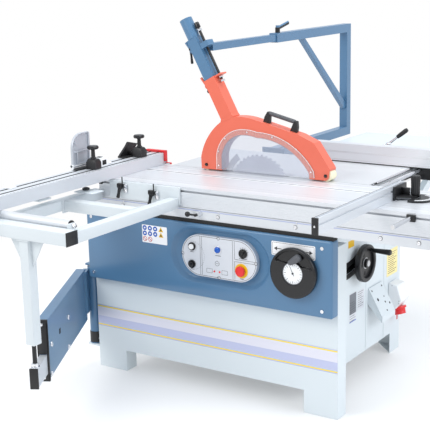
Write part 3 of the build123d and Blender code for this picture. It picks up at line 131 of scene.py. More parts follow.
def rounded(x0, x1, z0, z1, r, steps=6):
    """Rectangle with corners P(t) = corner centre + r (cos t, sin t), a quarter turn of t at each."""
    t = np.linspace(0, np.pi / 2, steps)
    corners = [((x1 - r, z1 - r), 0), ((x0 + r, z1 - r), 1), ((x0 + r, z0 + r), 2), ((x1 - r, z0 + r), 3)]
    arcs = [np.stack([c[0] + r * np.cos(t + k * np.pi / 2), c[1] + r * np.sin(t + k * np.pi / 2)], -1)
            for c, k in corners]
    return np.concatenate(arcs)


def block(lo, hi, r=1.5, steps=3):
    """Box with round edges: P(u, v) = signs of the octant * (half size - r) + r (cos v cos u, cos v sin u, sin v)."""
    lo, hi = np.minimum(lo, hi).astype(float), np.maximum(lo, hi).astype(float)
    centre, half = (lo + hi) / 2, (hi - lo) / 2
    r = min(r, 0.499 * (hi - lo).min())
    quarter = np.linspace(0, np.pi / 2, steps)
    u = np.concatenate([quarter + k * np.pi / 2 for k in range(4)])
    sx = np.repeat([1, -1, -1, 1], steps)
    sy = np.repeat([1, 1, -1, -1], steps)
    v = np.concatenate([quarter - np.pi / 2, quarter])
    sz = np.repeat([-1, 1], steps)
    core = half - r
    points = np.zeros((len(v), len(u), 3))
    points[..., 0] = sx * core[0] + r * np.outer(np.cos(v), np.cos(u))
    points[..., 1] = sy * core[1] + r * np.outer(np.cos(v), np.sin(u))
    points[..., 2] = (sz * core[2] + r * np.sin(v))[:, None]
    points, faces = grid(points[:, ::-1] + centre, close_v=True)
    n = len(u)
    last = (len(v) - 1) * n
    return points, faces + [list(range(n)), [last + k for k in range(n)][::-1]]


def turned(shape, axis, degrees, about):
    """The shape turned about an axis through a point."""
    points, faces = shape
    turn = np.array(Matrix.Rotation(math.radians(degrees), 3, Vector(axis)))
    return (points - about) @ turn.T + about, faces


def set_on(shape, origin, x_axis, z_axis):
    """A shape drawn about the origin, moved so that its X and Z lie along the two directions."""
    z = np.array(z_axis, float)
    z /= np.linalg.norm(z)
    x = np.array(x_axis, float) - np.dot(x_axis, z) * z
    x /= np.linalg.norm(x)
    return shape[0] @ np.stack([x, np.cross(z, x), z]) + np.array(origin, float), shape[1]


# --- Pieces ----------------------------------------------------------------------------------------
def piece(name, shape, body, material, replaces=(), bevel=0.0):
    """Makes the mesh, merges its doubles, points its faces outwards and lets it ride on its body."""
    mesh = bpy.data.meshes.new(name)
    mesh.from_pydata((shape[0] * MM).tolist(), [], shape[1])
    work = bmesh.new()
    work.from_mesh(mesh)
    bmesh.ops.remove_doubles(work, verts=work.verts, dist=1e-6)
    bmesh.ops.dissolve_degenerate(work, edges=work.edges, dist=1e-7)
    bmesh.ops.recalc_face_normals(work, faces=work.faces)
    work.to_mesh(mesh)
    work.free()
    mesh.shade_smooth()
    mesh.set_sharp_from_angle(angle=math.radians(SHARP))
    mesh.materials.append(material)
    made = bpy.data.objects.new(name, mesh)
    bpy.context.scene.collection.objects.link(made)
    if bevel:
        edge = made.modifiers.new("edge", "BEVEL")
        edge.width, edge.segments, edge.limit_method = bevel * MM, 2, "ANGLE"
        edge.angle_limit = math.radians(SHARP)
    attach(made, body)
    if replaces:
        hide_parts(*replaces)


# --- Materials -------------------------------------------------------------------------------------
def linear(hex_colour, gain=1.0):
    """sRGB hex value as linear colour, scaled by a gain."""
    parts = [int(hex_colour[k:k + 2], 16) / 255 for k in (1, 3, 5)]
    parts = [c / 12.92 if c <= 0.04045 else ((c + 0.055) / 1.055) ** 2.4 for c in parts]
    return (*[min(1.0, c * gain) for c in parts], 1.0)


def add(tree, kind, inputs=None, **options):
    """Adds one node: options are its settings, inputs its sockets, given by value or by link."""
    made = tree.nodes.new(kind)
    for key, value in options.items():
        setattr(made, key, value)
    for key, value in (inputs or {}).items():
        if isinstance(value, bpy.types.NodeSocket):
            tree.links.new(value, made.inputs[key])
        else:
            made.inputs[key].default_value = value
    return made


def start(name):
    """New material with an empty node tree."""
    made = bpy.data.materials.new(name)
    made.use_nodes = True
    made.node_tree.nodes.clear()
    return made, made.node_tree


def surface(name, colour, rough, metal=0.0, patch=90.0, spread=0.05, grain=1.5, relief=0.01, uneven=0.06,
            stretch=(1, 1, 1), **constants):
    """A finish with slow colour change over patch mm and a fine relief of grain mm, relief mm deep."""
    made, tree = start(name)
    place = add(tree, "ShaderNodeTexCoord").outputs["Object"]
    scaled = add(tree, "ShaderNodeMapping", {"Vector": place, "Scale": stretch}).outputs[0]
    slow = add(tree, "ShaderNodeTexNoise", {"Vector": place, "Scale": 1000 / patch, "Detail": 3.0}).outputs[0]
    fine = add(tree, "ShaderNodeTexNoise", {"Vector": scaled, "Scale": 1000 / grain,
                                            "Detail": 4.0}).outputs[0]
    tone = add(tree, "ShaderNodeMix", {0: slow, 6: linear(colour, 1 - spread), 7: linear(colour, 1 + spread)},
               data_type="RGBA").outputs[2]
    shine = add(tree, "ShaderNodeMapRange", {0: fine, 3: rough - uneven, 4: rough + uneven}).outputs[0]
    edge = add(tree, "ShaderNodeBevel", {"Radius": 0.9 * MM}, samples=4).outputs[0]
    bump = add(tree, "ShaderNodeBump", {"Height": fine, "Distance": relief * MM, "Strength": 1.0,
                                        "Normal": edge}).outputs[0]
    shader = add(tree, "ShaderNodeBsdfPrincipled", {"Base Color": tone, "Roughness": shine, "Normal": bump,
                                                    "Metallic": metal, **constants})
    add(tree, "ShaderNodeOutputMaterial", {"Surface": shader.outputs[0]})
    return made


# Mild steel sheet and tube, powder coated: an even satin skin without grain. Powder cures with a faint
# orange peel 1.5 mm wide, drawn slightly coarser so that it shows. The blue has a glossier topcoat.
GREY_COAT = surface("light_grey_powder_coat", "#D5DDE1", 0.42, patch=300, spread=0.02, grain=2.2,
                    relief=0.012)
PALE_COAT = surface("outrigger_powder_coat", "#D1D8DC", 0.42, patch=200, spread=0.03, grain=2.0, relief=0.012)
# Tungsten carbide, brazed on and ground: small bright tips on the duller blade.
CARBIDE = surface("tungsten_carbide", "#E2E4E8", 0.35, 0.3, patch=20, spread=0.05, grain=0.5, relief=0.002)
BLUE_COAT = surface("blue_powder_coat", "#4F779A", 0.30, patch=260, spread=0.05, grain=2.2, relief=0.012,
                    **{"Coat Weight": 0.2, "Coat Roughness": 0.12})
ORANGE_COAT = surface("orange_powder_coat", "#E46D55", 0.34, patch=200, spread=0.04, grain=2.0, relief=0.012)
# Extruded aluminium, etched and anodised: silvery satin, with fine lines that run along the profile.
ALU_X = surface("anodised_aluminium_along_x", "#DADDE1", 0.42, 0.45, patch=160, spread=0.03, grain=1.2,
                relief=0.006, stretch=(0.02, 1, 1))
ALU_Y = surface("anodised_aluminium_along_y", "#D9DDE2", 0.42, 0.45, patch=160, spread=0.03, grain=1.2,
                relief=0.006, stretch=(1, 0.02, 1))
# Cast iron ground on a surface grinder: pale, with straight shallow scratches across the table.
GROUND_IRON = surface("ground_cast_iron", "#D6D9DC", 0.40, 0.45, patch=120, spread=0.05, grain=1.6,
                      relief=0.004, stretch=(1, 0.03, 1))
# Turned steel: bright, with fine turning marks. Blade plate is ground, which leaves it paler and duller.
# Turned steel; the same steel also stands as painted shade in the sliding table's top grooves.
STEEL_AND_PAINTED_SHADE = surface("turned_steel_and_painted_shade", "#C9CACD", 0.32, 1.0, patch=40, spread=0.05, grain=0.9, relief=0.006)
BLADE_STEEL = surface("ground_blade_steel", "#D2D4DA", 0.40, 0.25, patch=50, spread=0.06, grain=1.0,
                      relief=0.004)
# Polished steel with chrome plating: a mirror with almost no grain.
CHROME = surface("chromed_steel", "#E4E5E8", 0.10, 1.0, patch=30, spread=0.02, grain=3.0, relief=0.001,
                 uneven=0.02)
# Injection-moulded polyamide with an eroded grain under 1 mm: deep black with a dull sheen. Knobs and
# wheels come from polished moulds and reflect the lamps. Grips are softer and greyer.
BLACK_PLASTIC = surface("black_moulded_plastic", "#18181A", 0.40, patch=60, spread=0.10, grain=0.8,
                        relief=0.02)
GLOSS_BLACK = surface("gloss_black_plastic", "#121214", 0.20, patch=60, spread=0.08, grain=2.0, relief=0.004)
GREY_PLASTIC = surface("ribbed_grey_plastic", "#55575C", 0.40, patch=30, spread=0.06, grain=0.8, relief=0.02)
# Moulded ABS and polycarbonate: even colour and a soft gloss.
# The white moulded plastic is also painted highlight on the sliding table's top.
WHITE_PLASTIC_AND_PAINTED_HIGHLIGHT = surface("white_moulded_plastic_and_painted_highlight", "#EEF0F2", 0.38, patch=60, spread=0.02, grain=1.0,
                        relief=0.01)
RED_PLASTIC = surface("red_moulded_plastic", "#DE2B2E", 0.30, patch=50, spread=0.06, grain=1.5, relief=0.006)
# Acrylic lens from a polished mould: saturated, with sharp highlights.
BLUE_LENS = surface("blue_lens", "#1458B8", 0.16, patch=20, spread=0.08, grain=1.5, relief=0.004)
YELLOW_PLASTIC = surface("yellow_plastic", "#F0C020", 0.35, patch=30, spread=0.04, grain=1.0, relief=0.006)
# Turned nylon: ivory, and light enters it a little, so edges look soft.
NYLON = surface("ivory_nylon", "#F1E9CB", 0.45, patch=30, spread=0.04, grain=1.0, relief=0.01,
                **{"Subsurface Weight": 0.1, "Subsurface Scale": 0.002})
# Painted die casting and raw sand casting: both pebbled, the raw one dark and rough.
CAST_GREY = surface("painted_casting", "#B9BEC6", 0.5, 0.3, patch=40, spread=0.08, grain=1.6, relief=0.06)
CAST_IRON = surface("raw_cast_iron", "#4A4D50", 0.6, 0.6, patch=60, spread=0.12, grain=1.8, relief=0.08)
# Sprayed enamel over castings, and vulcanised rubber, which is matt and nearly black. The same matt black is also
# painted shade and shadow in slots, gaps and holes.
MOTOR_PAINT = surface("motor_enamel", "#4B5058", 0.45, patch=80, spread=0.06, grain=1.6, relief=0.03)
RUBBER_AND_PAINTED_SHADE = surface("black_rubber_and_painted_shade", "#1D1D1E", 0.75, patch=40, spread=0.1, grain=0.6, relief=0.03)
# Printed films: silver polyester foil with a faint metallic sheen, matt label film and screen-printed inks,
# all flat and even.
FOIL = surface("silver_printed_foil", "#D5D8DE", 0.34, 0.25, patch=60, spread=0.03, grain=0.8, relief=0.003)
PAPER = surface("white_label_film", "#F2F2F4", 0.4, patch=40, spread=0.02, grain=1.0, relief=0.003)
YELLOW_FILM = surface("yellow_label_film", "#F3E3A0", 0.4, patch=40, spread=0.03, grain=1.0, relief=0.003)
SIGN_BLUE = surface("blue_sign_ink", "#1D59B5", 0.4, patch=20, spread=0.03, grain=1.0, relief=0.002)
SIGN_YELLOW = surface("yellow_sign_ink", "#E3B41C", 0.4, patch=20, spread=0.03, grain=1.0, relief=0.002)
# Pale blue-grey for the line along the rail's top: painted reflection.
RAIL_PAINTED_REFLECTION = surface("rail_painted_reflection_blue_grey", "#AEB6D6", 0.4, patch=40, spread=0.03, grain=1.0, relief=0.003)
LABEL_GREY = surface("dark_label_field", "#6C7078", 0.4, patch=40, spread=0.04, grain=1.0, relief=0.003)
SIGN_RED = surface("red_sign_ink", "#C9494A", 0.4, patch=20, spread=0.03, grain=1.0, relief=0.002)
# Black ink for print; the same black is also painted shade in grooves, slots, bolt wells and holes.
INK_AND_PAINTED_SHADE = surface("black_ink_and_painted_shade", "#2C2D30", 0.45, patch=20, spread=0.05, grain=1.0, relief=0.002)


def clear_pane(name, sheen, tint, low, high):
    """See-through sheet with a tint; a share of milky gloss, from low to high, varies slowly over it."""
    made, tree = start(name)
    place = add(tree, "ShaderNodeTexCoord").outputs["Object"]
    haze = add(tree, "ShaderNodeTexNoise", {"Vector": place, "Scale": 9.0, "Detail": 3.0}).outputs[0]
    share = add(tree, "ShaderNodeMapRange", {0: haze, 3: low, 4: high}).outputs[0]
    sheet = add(tree, "ShaderNodeBsdfPrincipled", {"Base Color": linear(sheen), "Roughness": 0.12})
    clear = add(tree, "ShaderNodeBsdfTransparent", {"Color": linear(tint)})
    mix = add(tree, "ShaderNodeMixShader", {0: share, 1: clear.outputs[0], 2: sheet.outputs[0]})
    add(tree, "ShaderNodeOutputMaterial", {"Surface": mix.outputs[0]})
    return made


def striped_film(z0, z1):
    """Decorative band on the base: steps of colour by height, two thin yellow lines."""
    made, tree = start("striped_film")
    place = add(tree, "ShaderNodeTexCoord").outputs["Object"]
    height = add(tree, "ShaderNodeSeparateXYZ", {0: place}).outputs[2]
    share = add(tree, "ShaderNodeMapRange", {0: height, 1: z0 * MM, 2: z1 * MM}).outputs[0]
    ramp = add(tree, "ShaderNodeValToRGB", {0: share})
    bands = ((0.0, "#B9BCDC"), (0.045, "#F2DC52"), (0.105, "#BCC1DE"), (0.47, "#DCDBE6"), (0.895, "#F2DC52"),
             (0.955, "#B9BCDC"))
    ramp.color_ramp.interpolation = "CONSTANT"
    while len(ramp.color_ramp.elements) < len(bands):
        ramp.color_ramp.elements.new(0.5)
    for element, (at, colour) in zip(ramp.color_ramp.elements, bands):
        element.position, element.color = at, linear(colour)
    fine = add(tree, "ShaderNodeTexNoise", {"Vector": place, "Scale": 700.0}).outputs[0]
    bump = add(tree, "ShaderNodeBump", {"Height": fine, "Distance": 0.000003}).outputs[0]
    shader = add(tree, "ShaderNodeBsdfPrincipled", {"Base Color": ramp.outputs[0], "Roughness": 0.36,
                                                    "Normal": bump})
    add(tree, "ShaderNodeOutputMaterial", {"Surface": shader.outputs[0]})
    return made


# Extruded polycarbonate sheet: almost clear, slightly milky. Over the orange rim the same sheet looks pink.
# The guard's own orange wall stands in shade behind it; the mauve given to its inner wall is painted shade.
CLEAR = clear_pane("clear_polycarbonate", "#DADCE4", "#F6F7FA", 0.20, 0.26)
LAP = clear_pane("pane_lap", "#FFC4B8", "#FFF4F2", 0.26, 0.34)
GUARD_WALL_PAINTED_SHADE = surface("guard_wall_painted_shade", "#8A7488", 0.5, patch=60, spread=0.08, grain=1.5, relief=0.01)

# --- CAD nodes that show as they are, with their finish ----------------------------------------------
FINISHES = {
    GREY_COAT: ("cabinet_body", "accessory_bracket", "extension_table", "front_frame"),
    BLUE_COAT: ("gantry_frame", "extraction_tube", "swing_arm", "hinge_bracket"),
    ORANGE_COAT: ("hood_shell",),
    GROUND_IRON: ("main_table",),
    ALU_X: ("sliding_table", "guide_rail", "rip_fence", "outrigger_roller"),
    ALU_Y: ("crosscut_fence", "mitre_fence", "arm_extension"),
    STEEL_AND_PAINTED_SHADE: ("table_insert", "riving_knife", "arbor_shaft", "motor_pulley"),
    BLADE_STEEL: ("saw_blade",),
    CHROME: ("fence_rail", "screws", "push_rod"),
    BLACK_PLASTIC: ("arc_cover", "fence_head", "mitre_protractor", "rise_handwheel"),
    GLOSS_BLACK: ("table_lock_knob",),
    NYLON: ("front_hood_roller", "rear_hood_roller"),
    CAST_IRON: ("trunnions", "tilt_frame", "saw_head"),
    MOTOR_PAINT: ("saw_motor", "dust_shroud"),
    RUBBER_AND_PAINTED_SHADE: ("drive_belt",),
}
for finish, names in FINISHES.items():
    for name in names:
        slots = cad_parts[name].data.materials
        slots.clear()
        slots.append(finish)

# Depths, from and to, of films and prints: on the control plate, whose front lies at y = FRONT, on the
# fascia at y = -83 and on the cabinet's right side at x = 462.
FRONT = -84.0
ON_PLATE = (FRONT - 0.25, FRONT + 0.1)
ON_FASCIA, FASCIA_PRINT, FASCIA_OVERPRINT = (-83.5, -83.0), (-83.7, -83.4), (-83.8, -83.4)
ON_WALL, WALL_FIELD, WALL_PRINT, WALL_STICKER = (462.0, 462.5), (462.3, 462.7), (462.4, 462.7), (462.0, 462.6)
TILT_AXIS = (295.0, 875.0)
RISE_WHEEL = (405, 515)
BLADE = (54, 809)
ROLLER = (-738, 856.5)
MITRE_PIVOT = (832, 130)


def stadium(cx, cz, w, h):
    """Outline of a bar with half-round ends: a rounded rectangle whose radius is half its height."""
    return rounded(cx - w / 2, cx + w / 2, cz - h / 2, cz + h / 2, h / 2 - 0.01, 14)


def loops(outlines, axis):
    """Skin through outlines of equal count, each (outline, depth along the axis), capped at both ends."""
    others = [k for k in range(3) if k != axis]
    points = np.zeros((len(outlines), len(outlines[0][0]), 3))
    for k, (outline, depth) in enumerate(outlines):
        points[k, :, others[0]], points[k, :, others[1]] = outline[:, 0], outline[:, 1]
        points[k, :, axis] = depth
    n = points.shape[1]
    last = (len(outlines) - 1) * n
    points, faces = grid(points, close_v=True)
    return points, faces + [list(range(n))[::-1], [last + k for k in range(n)]]


def strip(corners):
    """Bar of four edges: P(k, c) runs through corner c of every cross-section k, with both ends closed."""
    points, faces = grid(corners, close_v=True)
    last = len(points)
    return points, faces + [[0, 1, 2, 3], [last - 1, last - 2, last - 3, last - 4]]


def band(outer, inner, d0, d1, axis):
    """Closed band: P(k, i) = point i of the outer or inner outline at depth d0 or d1, all four joined round."""
    others = [k for k in range(3) if k != axis]
    points = np.zeros((4, len(outer), 3))
    for k, (outline, depth) in enumerate(((outer, d0), (outer, d1), (inner, d1), (inner, d0))):
        points[k, :, others[0]], points[k, :, others[1]] = outline[:, 0], outline[:, 1]
        points[k, :, axis] = depth
    return grid(points, close_u=True, close_v=True)


def strokes(segments, width, d0, d1, axis):
    """Straight marks: each runs from a to b with corners a or b +- half the width along the normal."""
    bars = []
    for a, b in segments:
        a, b = np.array(a, float), np.array(b, float)
        side = (b - a)[::-1] * (-1, 1) / np.linalg.norm(b - a) * width / 2
        bars.append(prism([a - side, b - side, b + side, a + side], d0, d1, axis))
    return join(*bars)


def ring_outline(cx, cz, r, steps=48):
    """Circle: P(t) = (cx + r cos t, cz + r sin t), t once round in equal steps."""
    t = np.linspace(0, 2 * np.pi, steps, endpoint=False)
    return np.stack([cx + r * np.cos(t), cz + r * np.sin(t)], -1)


def ticks(cx, cz, r0, r1, angles, width, d0, d1, axis):
    """Marks of a dial: from (r0 cos a, r0 sin a) to (r1 cos a, r1 sin a) about its centre for every angle a."""
    t = np.radians(angles)
    return strokes([((cx + r0 * math.cos(a), cz + r0 * math.sin(a)),
                     (cx + r1 * math.cos(a), cz + r1 * math.sin(a))) for a in t], width, d0, d1, axis)


# --- Fascia and control plate --------------------------------------------------------------------------
PANEL = (87.0, 600.0)
fascia = loops([(rounded(-595, 595, 424, 730, 9, 14), -35.0), (rounded(-595, 595, 424, 730, 9, 14), -74.0),
                (rounded(-593.8, 593.8, 425.2, 728.8, 9, 14), -78.4),
                (rounded(-591, 591, 428, 726, 8, 14), -81.4), (rounded(-588, 588, 431, 723, 7, 14), -83.0),
                (stadium(*PANEL, 480, 238), -83.0), (stadium(*PANEL, 473, 231), -82.2),
                (stadium(*PANEL, 461, 219), -76.0), (stadium(*PANEL, 447, 205), -65.0),
                (stadium(*PANEL, 436, 194), -62.0)], 1)
piece("fascia_moulding", fascia, "base", BLUE_COAT, ["fascia_panel"])
plate = loops([(stadium(*PANEL, 358, 172), -62.0), (stadium(*PANEL, 358, 172), -83.4),
               (stadium(*PANEL, 356.6, 170.6), FRONT)], 1)
piece("control_plate_sheet", plate, "base", FOIL, ["control_plate"])
outline = band(stadium(*PANEL, 350, 164), stadium(*PANEL, 347, 161), *ON_PLATE, 1)
dividers = strokes([((-1, 521), (-1, 679)), ((7, 521), (7, 679)), ((154, 521), (154, 679)),
                    ((163, 606), (163, 678)), ((163, 606), (258, 606)), ((163, 597), (258, 597)),
                    ((163, 522), (163, 597)), ((74, 577), (86, 577))], 1.3, *ON_PLATE, 1)
boxes = [band(rounded(x - 14, x + 14, 534, 552, 2), rounded(x - 13, x + 13, 535, 551, 1.6), *ON_PLATE, 1)
         for x in (42, 115)]
captions = strokes([((-50, 611), (-34, 611)), ((-50, 538), (-34, 538)), ((72, 610), (98, 610)),
                    ((184, 612), (222, 612)), ((186, 529), (204, 529))], 2.2, *ON_PLATE, 1)
symbols = [band(ring_outline(80, 577, 10.5), ring_outline(80, 577, 9.2), *ON_PLATE, 1), captions,
           ticks(204, 634, 20, 26, (20, 45, 70, 95, 120), 1.2, *ON_PLATE, 1),
           ticks(-41, 597, 58, 61, range(-80, 81, 8), 1.4, *ON_PLATE, 1)]
piece("control_plate_print", join(outline, dividers, *boxes, *symbols), "base", INK_AND_PAINTED_SHADE)
notches = [disc((x, FRONT, z), (0, -1, 0), 3.6, 1.2)
           for x, z in ((87, 681), (87, 519), (-88, 600), (262, 600))]
piece("control_plate_screws", join(*notches), "base", CHROME)
rings = [band(ring_outline(x, z, 7), ring_outline(x, z, 5.6), *ON_PLATE, 1)
         for x, z in ((87, 681), (87, 519), (-88, 600), (262, 600))]
piece("control_plate_notches", join(*rings), "base", INK_AND_PAINTED_SHADE)
collars = [band(ring_outline(x, z, r + 6), ring_outline(x, z, r + 0.5), -89.5, FRONT, 1)
           for x, z, r in ((-40, 634, 11), (-42, 560, 11), (204, 634, 13))]
piece("button_collars", join(*collars), "base", GLOSS_BLACK)
piece("emergency_ring", loops([(ring_outline(194, 562, 30), FRONT), (ring_outline(194, 562, 29.5), -85.4),
                               (ring_outline(194, 562, 12), -85.6)], 1), "base", YELLOW_PLASTIC)
for name, x, z, body, finish in (("start_cap", -40, 634, "start_button", WHITE_PLASTIC_AND_PAINTED_HIGHLIGHT),
                                 ("stop_cap", -42, 560, "stop_button", GLOSS_BLACK)):
    cap = lathe([(0, 0), (11, 0), (11, 10.6), (10.4, 11.6), (9, 12), (7, 11.4), (0, 11)], (x, FRONT, z),
                (0, -1, 0))
    piece(name, cap, body, finish, [body])
mushroom = lathe([(0, 0), (9, 0), (9, 5), (19, 5.6), (21.5, 8), (21.5, 12.4), (19.6, 15.4), (14, 17),
                  (0, 17.4)], (194, FRONT, 562), (0, -1, 0))
piece("emergency_mushroom", mushroom, "emergency_stop", RED_PLASTIC, ["emergency_stop"])
knob = join(disc((204, FRONT, 634), (0, -1, 0), 12.6, 7, 1.5),
            turned(block((200.4, -101, 622.4), (207.6, -90, 645.6), 2.5), (0, 1, 0), 35, (204, -90, 634)))
piece("selector_knob", knob, "selector", GLOSS_BLACK, ["selector_switch"])
lens = lathe([(0, 0), (13, 0), (13, 4), (12, 8), (8, 11), (0, 12)], (85, FRONT, 635), (0, -1, 0))
piece("signal_lens", lens, "base", BLUE_LENS, ["signal_lamps"])
piece("signal_bezel", band(ring_outline(85, 635, 16), ring_outline(85, 635, 13.2), -88, FRONT, 1), "base",
      CHROME)
leds = [lathe([(0, 0), (3.8, 0), (3.8, 1.6), (3, 3), (0, 4)], (x, FRONT, 543), (0, -1, 0), 24)
        for x in (66, 91)]
piece("signal_diodes", join(*leds), "base", RED_PLASTIC)

# --- Labels ----------------------------------------------------------------------------------------------
piece("striped_band", block((-594.5, -35.7, 190), (594.5, -35.0, 289), 0.2), "base", striped_film(190, 289),
      ["decals"])
piece("safety_sheet", prism(rounded(-293, -165, 621, 697, 4), *ON_FASCIA, 1), "base", PAPER)
blue_dots, warn, forbid, warn_ink = [], [], [], []
for z in (684, 661):
    blue_dots += [prism(ring_outline(x, z, 10.5, 24), *FASCIA_PRINT, 1) for x in (-279, -252, -225)]
    warn.append(prism([(-208, z - 10), (-184, z - 10), (-196, z + 11)], *FASCIA_PRINT, 1))
    warn_ink.append(prism([(-201, z - 6), (-191, z - 6), (-196, z + 3)], *FASCIA_OVERPRINT, 1))
for x in (-279, -252):
    forbid.append(band(ring_outline(x, 637, 10.5, 24), ring_outline(x, 637, 8, 24), *FASCIA_PRINT, 1))
    forbid.append(strokes([((x - 6.5, 643.5), (x + 6.5, 630.5))], 2.4, -83.72, -83.4, 1))
symbols = strokes([((x - 4, z), (x + 4, z)) for x in (-279, -252, -225) for z in (684, 661)], 7, -83.8, -83.6,
                  1)
piece("safety_white_symbols", symbols, "base", PAPER)
piece("safety_blue_signs", join(*blue_dots), "base", SIGN_BLUE)
piece("safety_yellow_signs", join(*warn), "base", SIGN_YELLOW)
piece("safety_red_signs", join(*forbid), "base", SIGN_RED)
piece("safety_ink", join(*warn_ink), "base", INK_AND_PAINTED_SHADE)
piece("arrow_plate", prism(rounded(333, 524, 648, 704, 5), *ON_FASCIA, 1), "base", PAPER)
arrows = [band(rounded(337, 520, 652, 700, 4), rounded(338.2, 518.8, 653.2, 698.8, 3.2), *FASCIA_PRINT, 1)]
for x, side in ((352, -1), (505, 1)):
    arrows.append(prism([(x - side * 6, 668), (x - side * 6, 684), (x + side * 8, 676)], *FASCIA_PRINT, 1))
    arrows.append(strokes([((x - side * 6, 676), (x - side * 26, 676))], 3, *FASCIA_PRINT, 1))
piece("arrow_print", join(*arrows), "base", INK_AND_PAINTED_SHADE)
piece("side_yellow_label", prism(rounded(700, 812, 370, 490, 3), *ON_WALL, 0), "base", YELLOW_FILM)
piece("side_yellow_ink", strokes([((712, 474 - 9 * k), (800 - 14 * (k % 3), 474 - 9 * k)) for k in range(11)],
                                 2.0, *WALL_PRINT, 0), "base", INK_AND_PAINTED_SHADE)
piece("rating_plate", join(prism(rounded(330, 396, 262, 390, 3), *ON_WALL, 0),
                           prism(rounded(404, 470, 300, 385, 3), *ON_WALL, 0)), "base", FOIL)
piece("rating_field", prism(rounded(332, 394, 300, 388, 2), *WALL_FIELD, 0), "base", LABEL_GREY)
piece("rating_line", prism(rounded(332, 394, 264, 268, 1), *WALL_FIELD, 0), "base", SIGN_BLUE)
rows = [((336, 380 - 10 * k), (388 - 9 * (k % 2), 380 - 10 * k)) for k in range(3, 12)]
rows += [((410, 377 - 9 * k), (463 - 8 * (k % 3), 377 - 9 * k)) for k in range(8)]
piece("rating_ink", strokes(rows, 1.6, *WALL_PRINT, 0), "base", INK_AND_PAINTED_SHADE)

# --- Handwheels -------------------------------------------------------------------------------------------
WHEEL = (442.0, 594.0)
dial = lathe([(0, 0), (42, 0), (42.5, 1.4), (41.5, 2.2), (0, 2.2)], (WHEEL[0], -110.0, WHEEL[1]), (0, -1, 0),
             56)
piece("gravity_dial", dial, "tilt_wheel", WHITE_PLASTIC_AND_PAINTED_HIGHLIGHT, ["tilt_indicator"])
marks = [ticks(*WHEEL, 34, 39.5, range(0, 360, 15), 0.9, -112.5, -112.1, 1),
         ticks(*WHEEL, 30, 39.5, range(0, 360, 45), 1.5, -112.5, -112.1, 1),
         strokes([((447, 584), (429, 622)), ((442, 594), (436, 606))], 2.0, -112.6, -112.1, 1),
         disc((442, -112.2, 594), (0, -1, 0), 4.2, 1.6)]
piece("gravity_dial_print", join(*marks), "tilt_wheel", INK_AND_PAINTED_SHADE)
bezel = band(ring_outline(*WHEEL, 45.5, 64), ring_outline(*WHEEL, 42.3, 64), -114.0, -110.0, 1)
piece("gravity_dial_bezel", bezel, "tilt_wheel", GREY_PLASTIC)


def wheel_face(r0, r1, chord, depth, steps=96, rings=26):
    """Front of the dished wheel. Height h(r, t) = 26 - depth * S((r sin t - chord) / 4) * S((90 - r) / 3),
    where S is the smooth step from 0 to 1: flat, with one scooped sector beyond a straight chord."""
    def smooth(value):
        value = np.clip(value, 0, 1)
        return value * value * (3 - 2 * value)
    r = np.linspace(r0, r1, rings)[:, None]
    t = np.linspace(0, 2 * np.pi, steps, endpoint=False)[None, :]
    height = 26.0 - depth * smooth((r * np.sin(t + 0.12) - chord) / 4) * smooth((90 - r) / 3)
    points = np.stack([WHEEL[0] + r * np.cos(t), -91.0 - height, WHEEL[1] + r * np.sin(t)], axis=-1)
    return points


face = wheel_face(47.0, 94.0, 34.0, 9.0)
around = face[-1] * (1, 0, 1)
hub = np.array([WHEEL[0], 0, WHEEL[1]])
rim = [(97.5, 24.6), (99.4, 22.0), (100, 18), (100, 8), (98.5, 4), (95, 1.5), (60, 0.5), (20, 0)]
rim_rings = [(around - hub) * r / 94.0 + hub - np.array([0, 91.0 + h, 0]) for r, h in rim]
well = [(face[0] * (1, 0, 1) - hub) * r / 47.0 + hub - np.array([0, 91.0 + h, 0])
        for r, h in ((1, 12.5), (44, 12.5), (44.4, 22), (45.5, 25.4))]
skin, quads = grid(np.concatenate([np.array(well), face, np.array(rim_rings)]), close_v=True)
count = face.shape[1]
quads += [list(range(count)), [len(skin) - 1 - k for k in range(count)]]
piece("tilt_wheel_dish", (skin, quads), "tilt_wheel", GLOSS_BLACK, ["tilt_handwheel"])
grip_profile = [(0, 0), (7, 0), (9.5, 2), (11, 10), (14, 30), (15, 46), (13.5, 54), (8, 58), (0, 59)]
piece("tilt_wheel_knob", lathe(grip_profile, (430, -119, 634), (0.83, 0.0, 0.56), 32), "tilt_grip",
      GREY_PLASTIC, ["tilt_wheel_grip"])
lo, hi = span("rise_wheel_grip")
middle = (lo + hi) / 2
knob = lathe([(0, 0), (8, 0), (9, 4), (10, 30), (12, 70), (12.5, 78), (10, 83), (0, 84)],
             (hi[0] - 84.2, middle[1], middle[2]), (1, 0, 0), 32)
piece("rise_wheel_knob", join(knob, rod((lo[0], middle[1], middle[2]), (hi[0] - 80, middle[1], middle[2]),
                                        5)), "rise_grip", BLACK_PLASTIC, ["rise_wheel_grip"])
hub_cap = [disc((512.0, *RISE_WHEEL), (1, 0, 0), 13, 3, 1.2), disc((500.2, *RISE_WHEEL), (1, 0, 0), 24, 1.2)]
piece("rise_wheel_hub", join(*hub_cap), "rise_wheel", STEEL_AND_PAINTED_SHADE)
# Matt dark discs where the wheel's holes are: painted shade in the holes.
holes = [disc((499.9, RISE_WHEEL[0] + 42 * math.cos(a), RISE_WHEEL[1] + 42 * math.sin(a)), (1, 0, 0), 9, 0.6)
         for a in np.radians((-100, -28, 116, 188))]
piece("rise_wheel_hole_painted_shade", join(*holes), "rise_wheel", RUBBER_AND_PAINTED_SHADE)

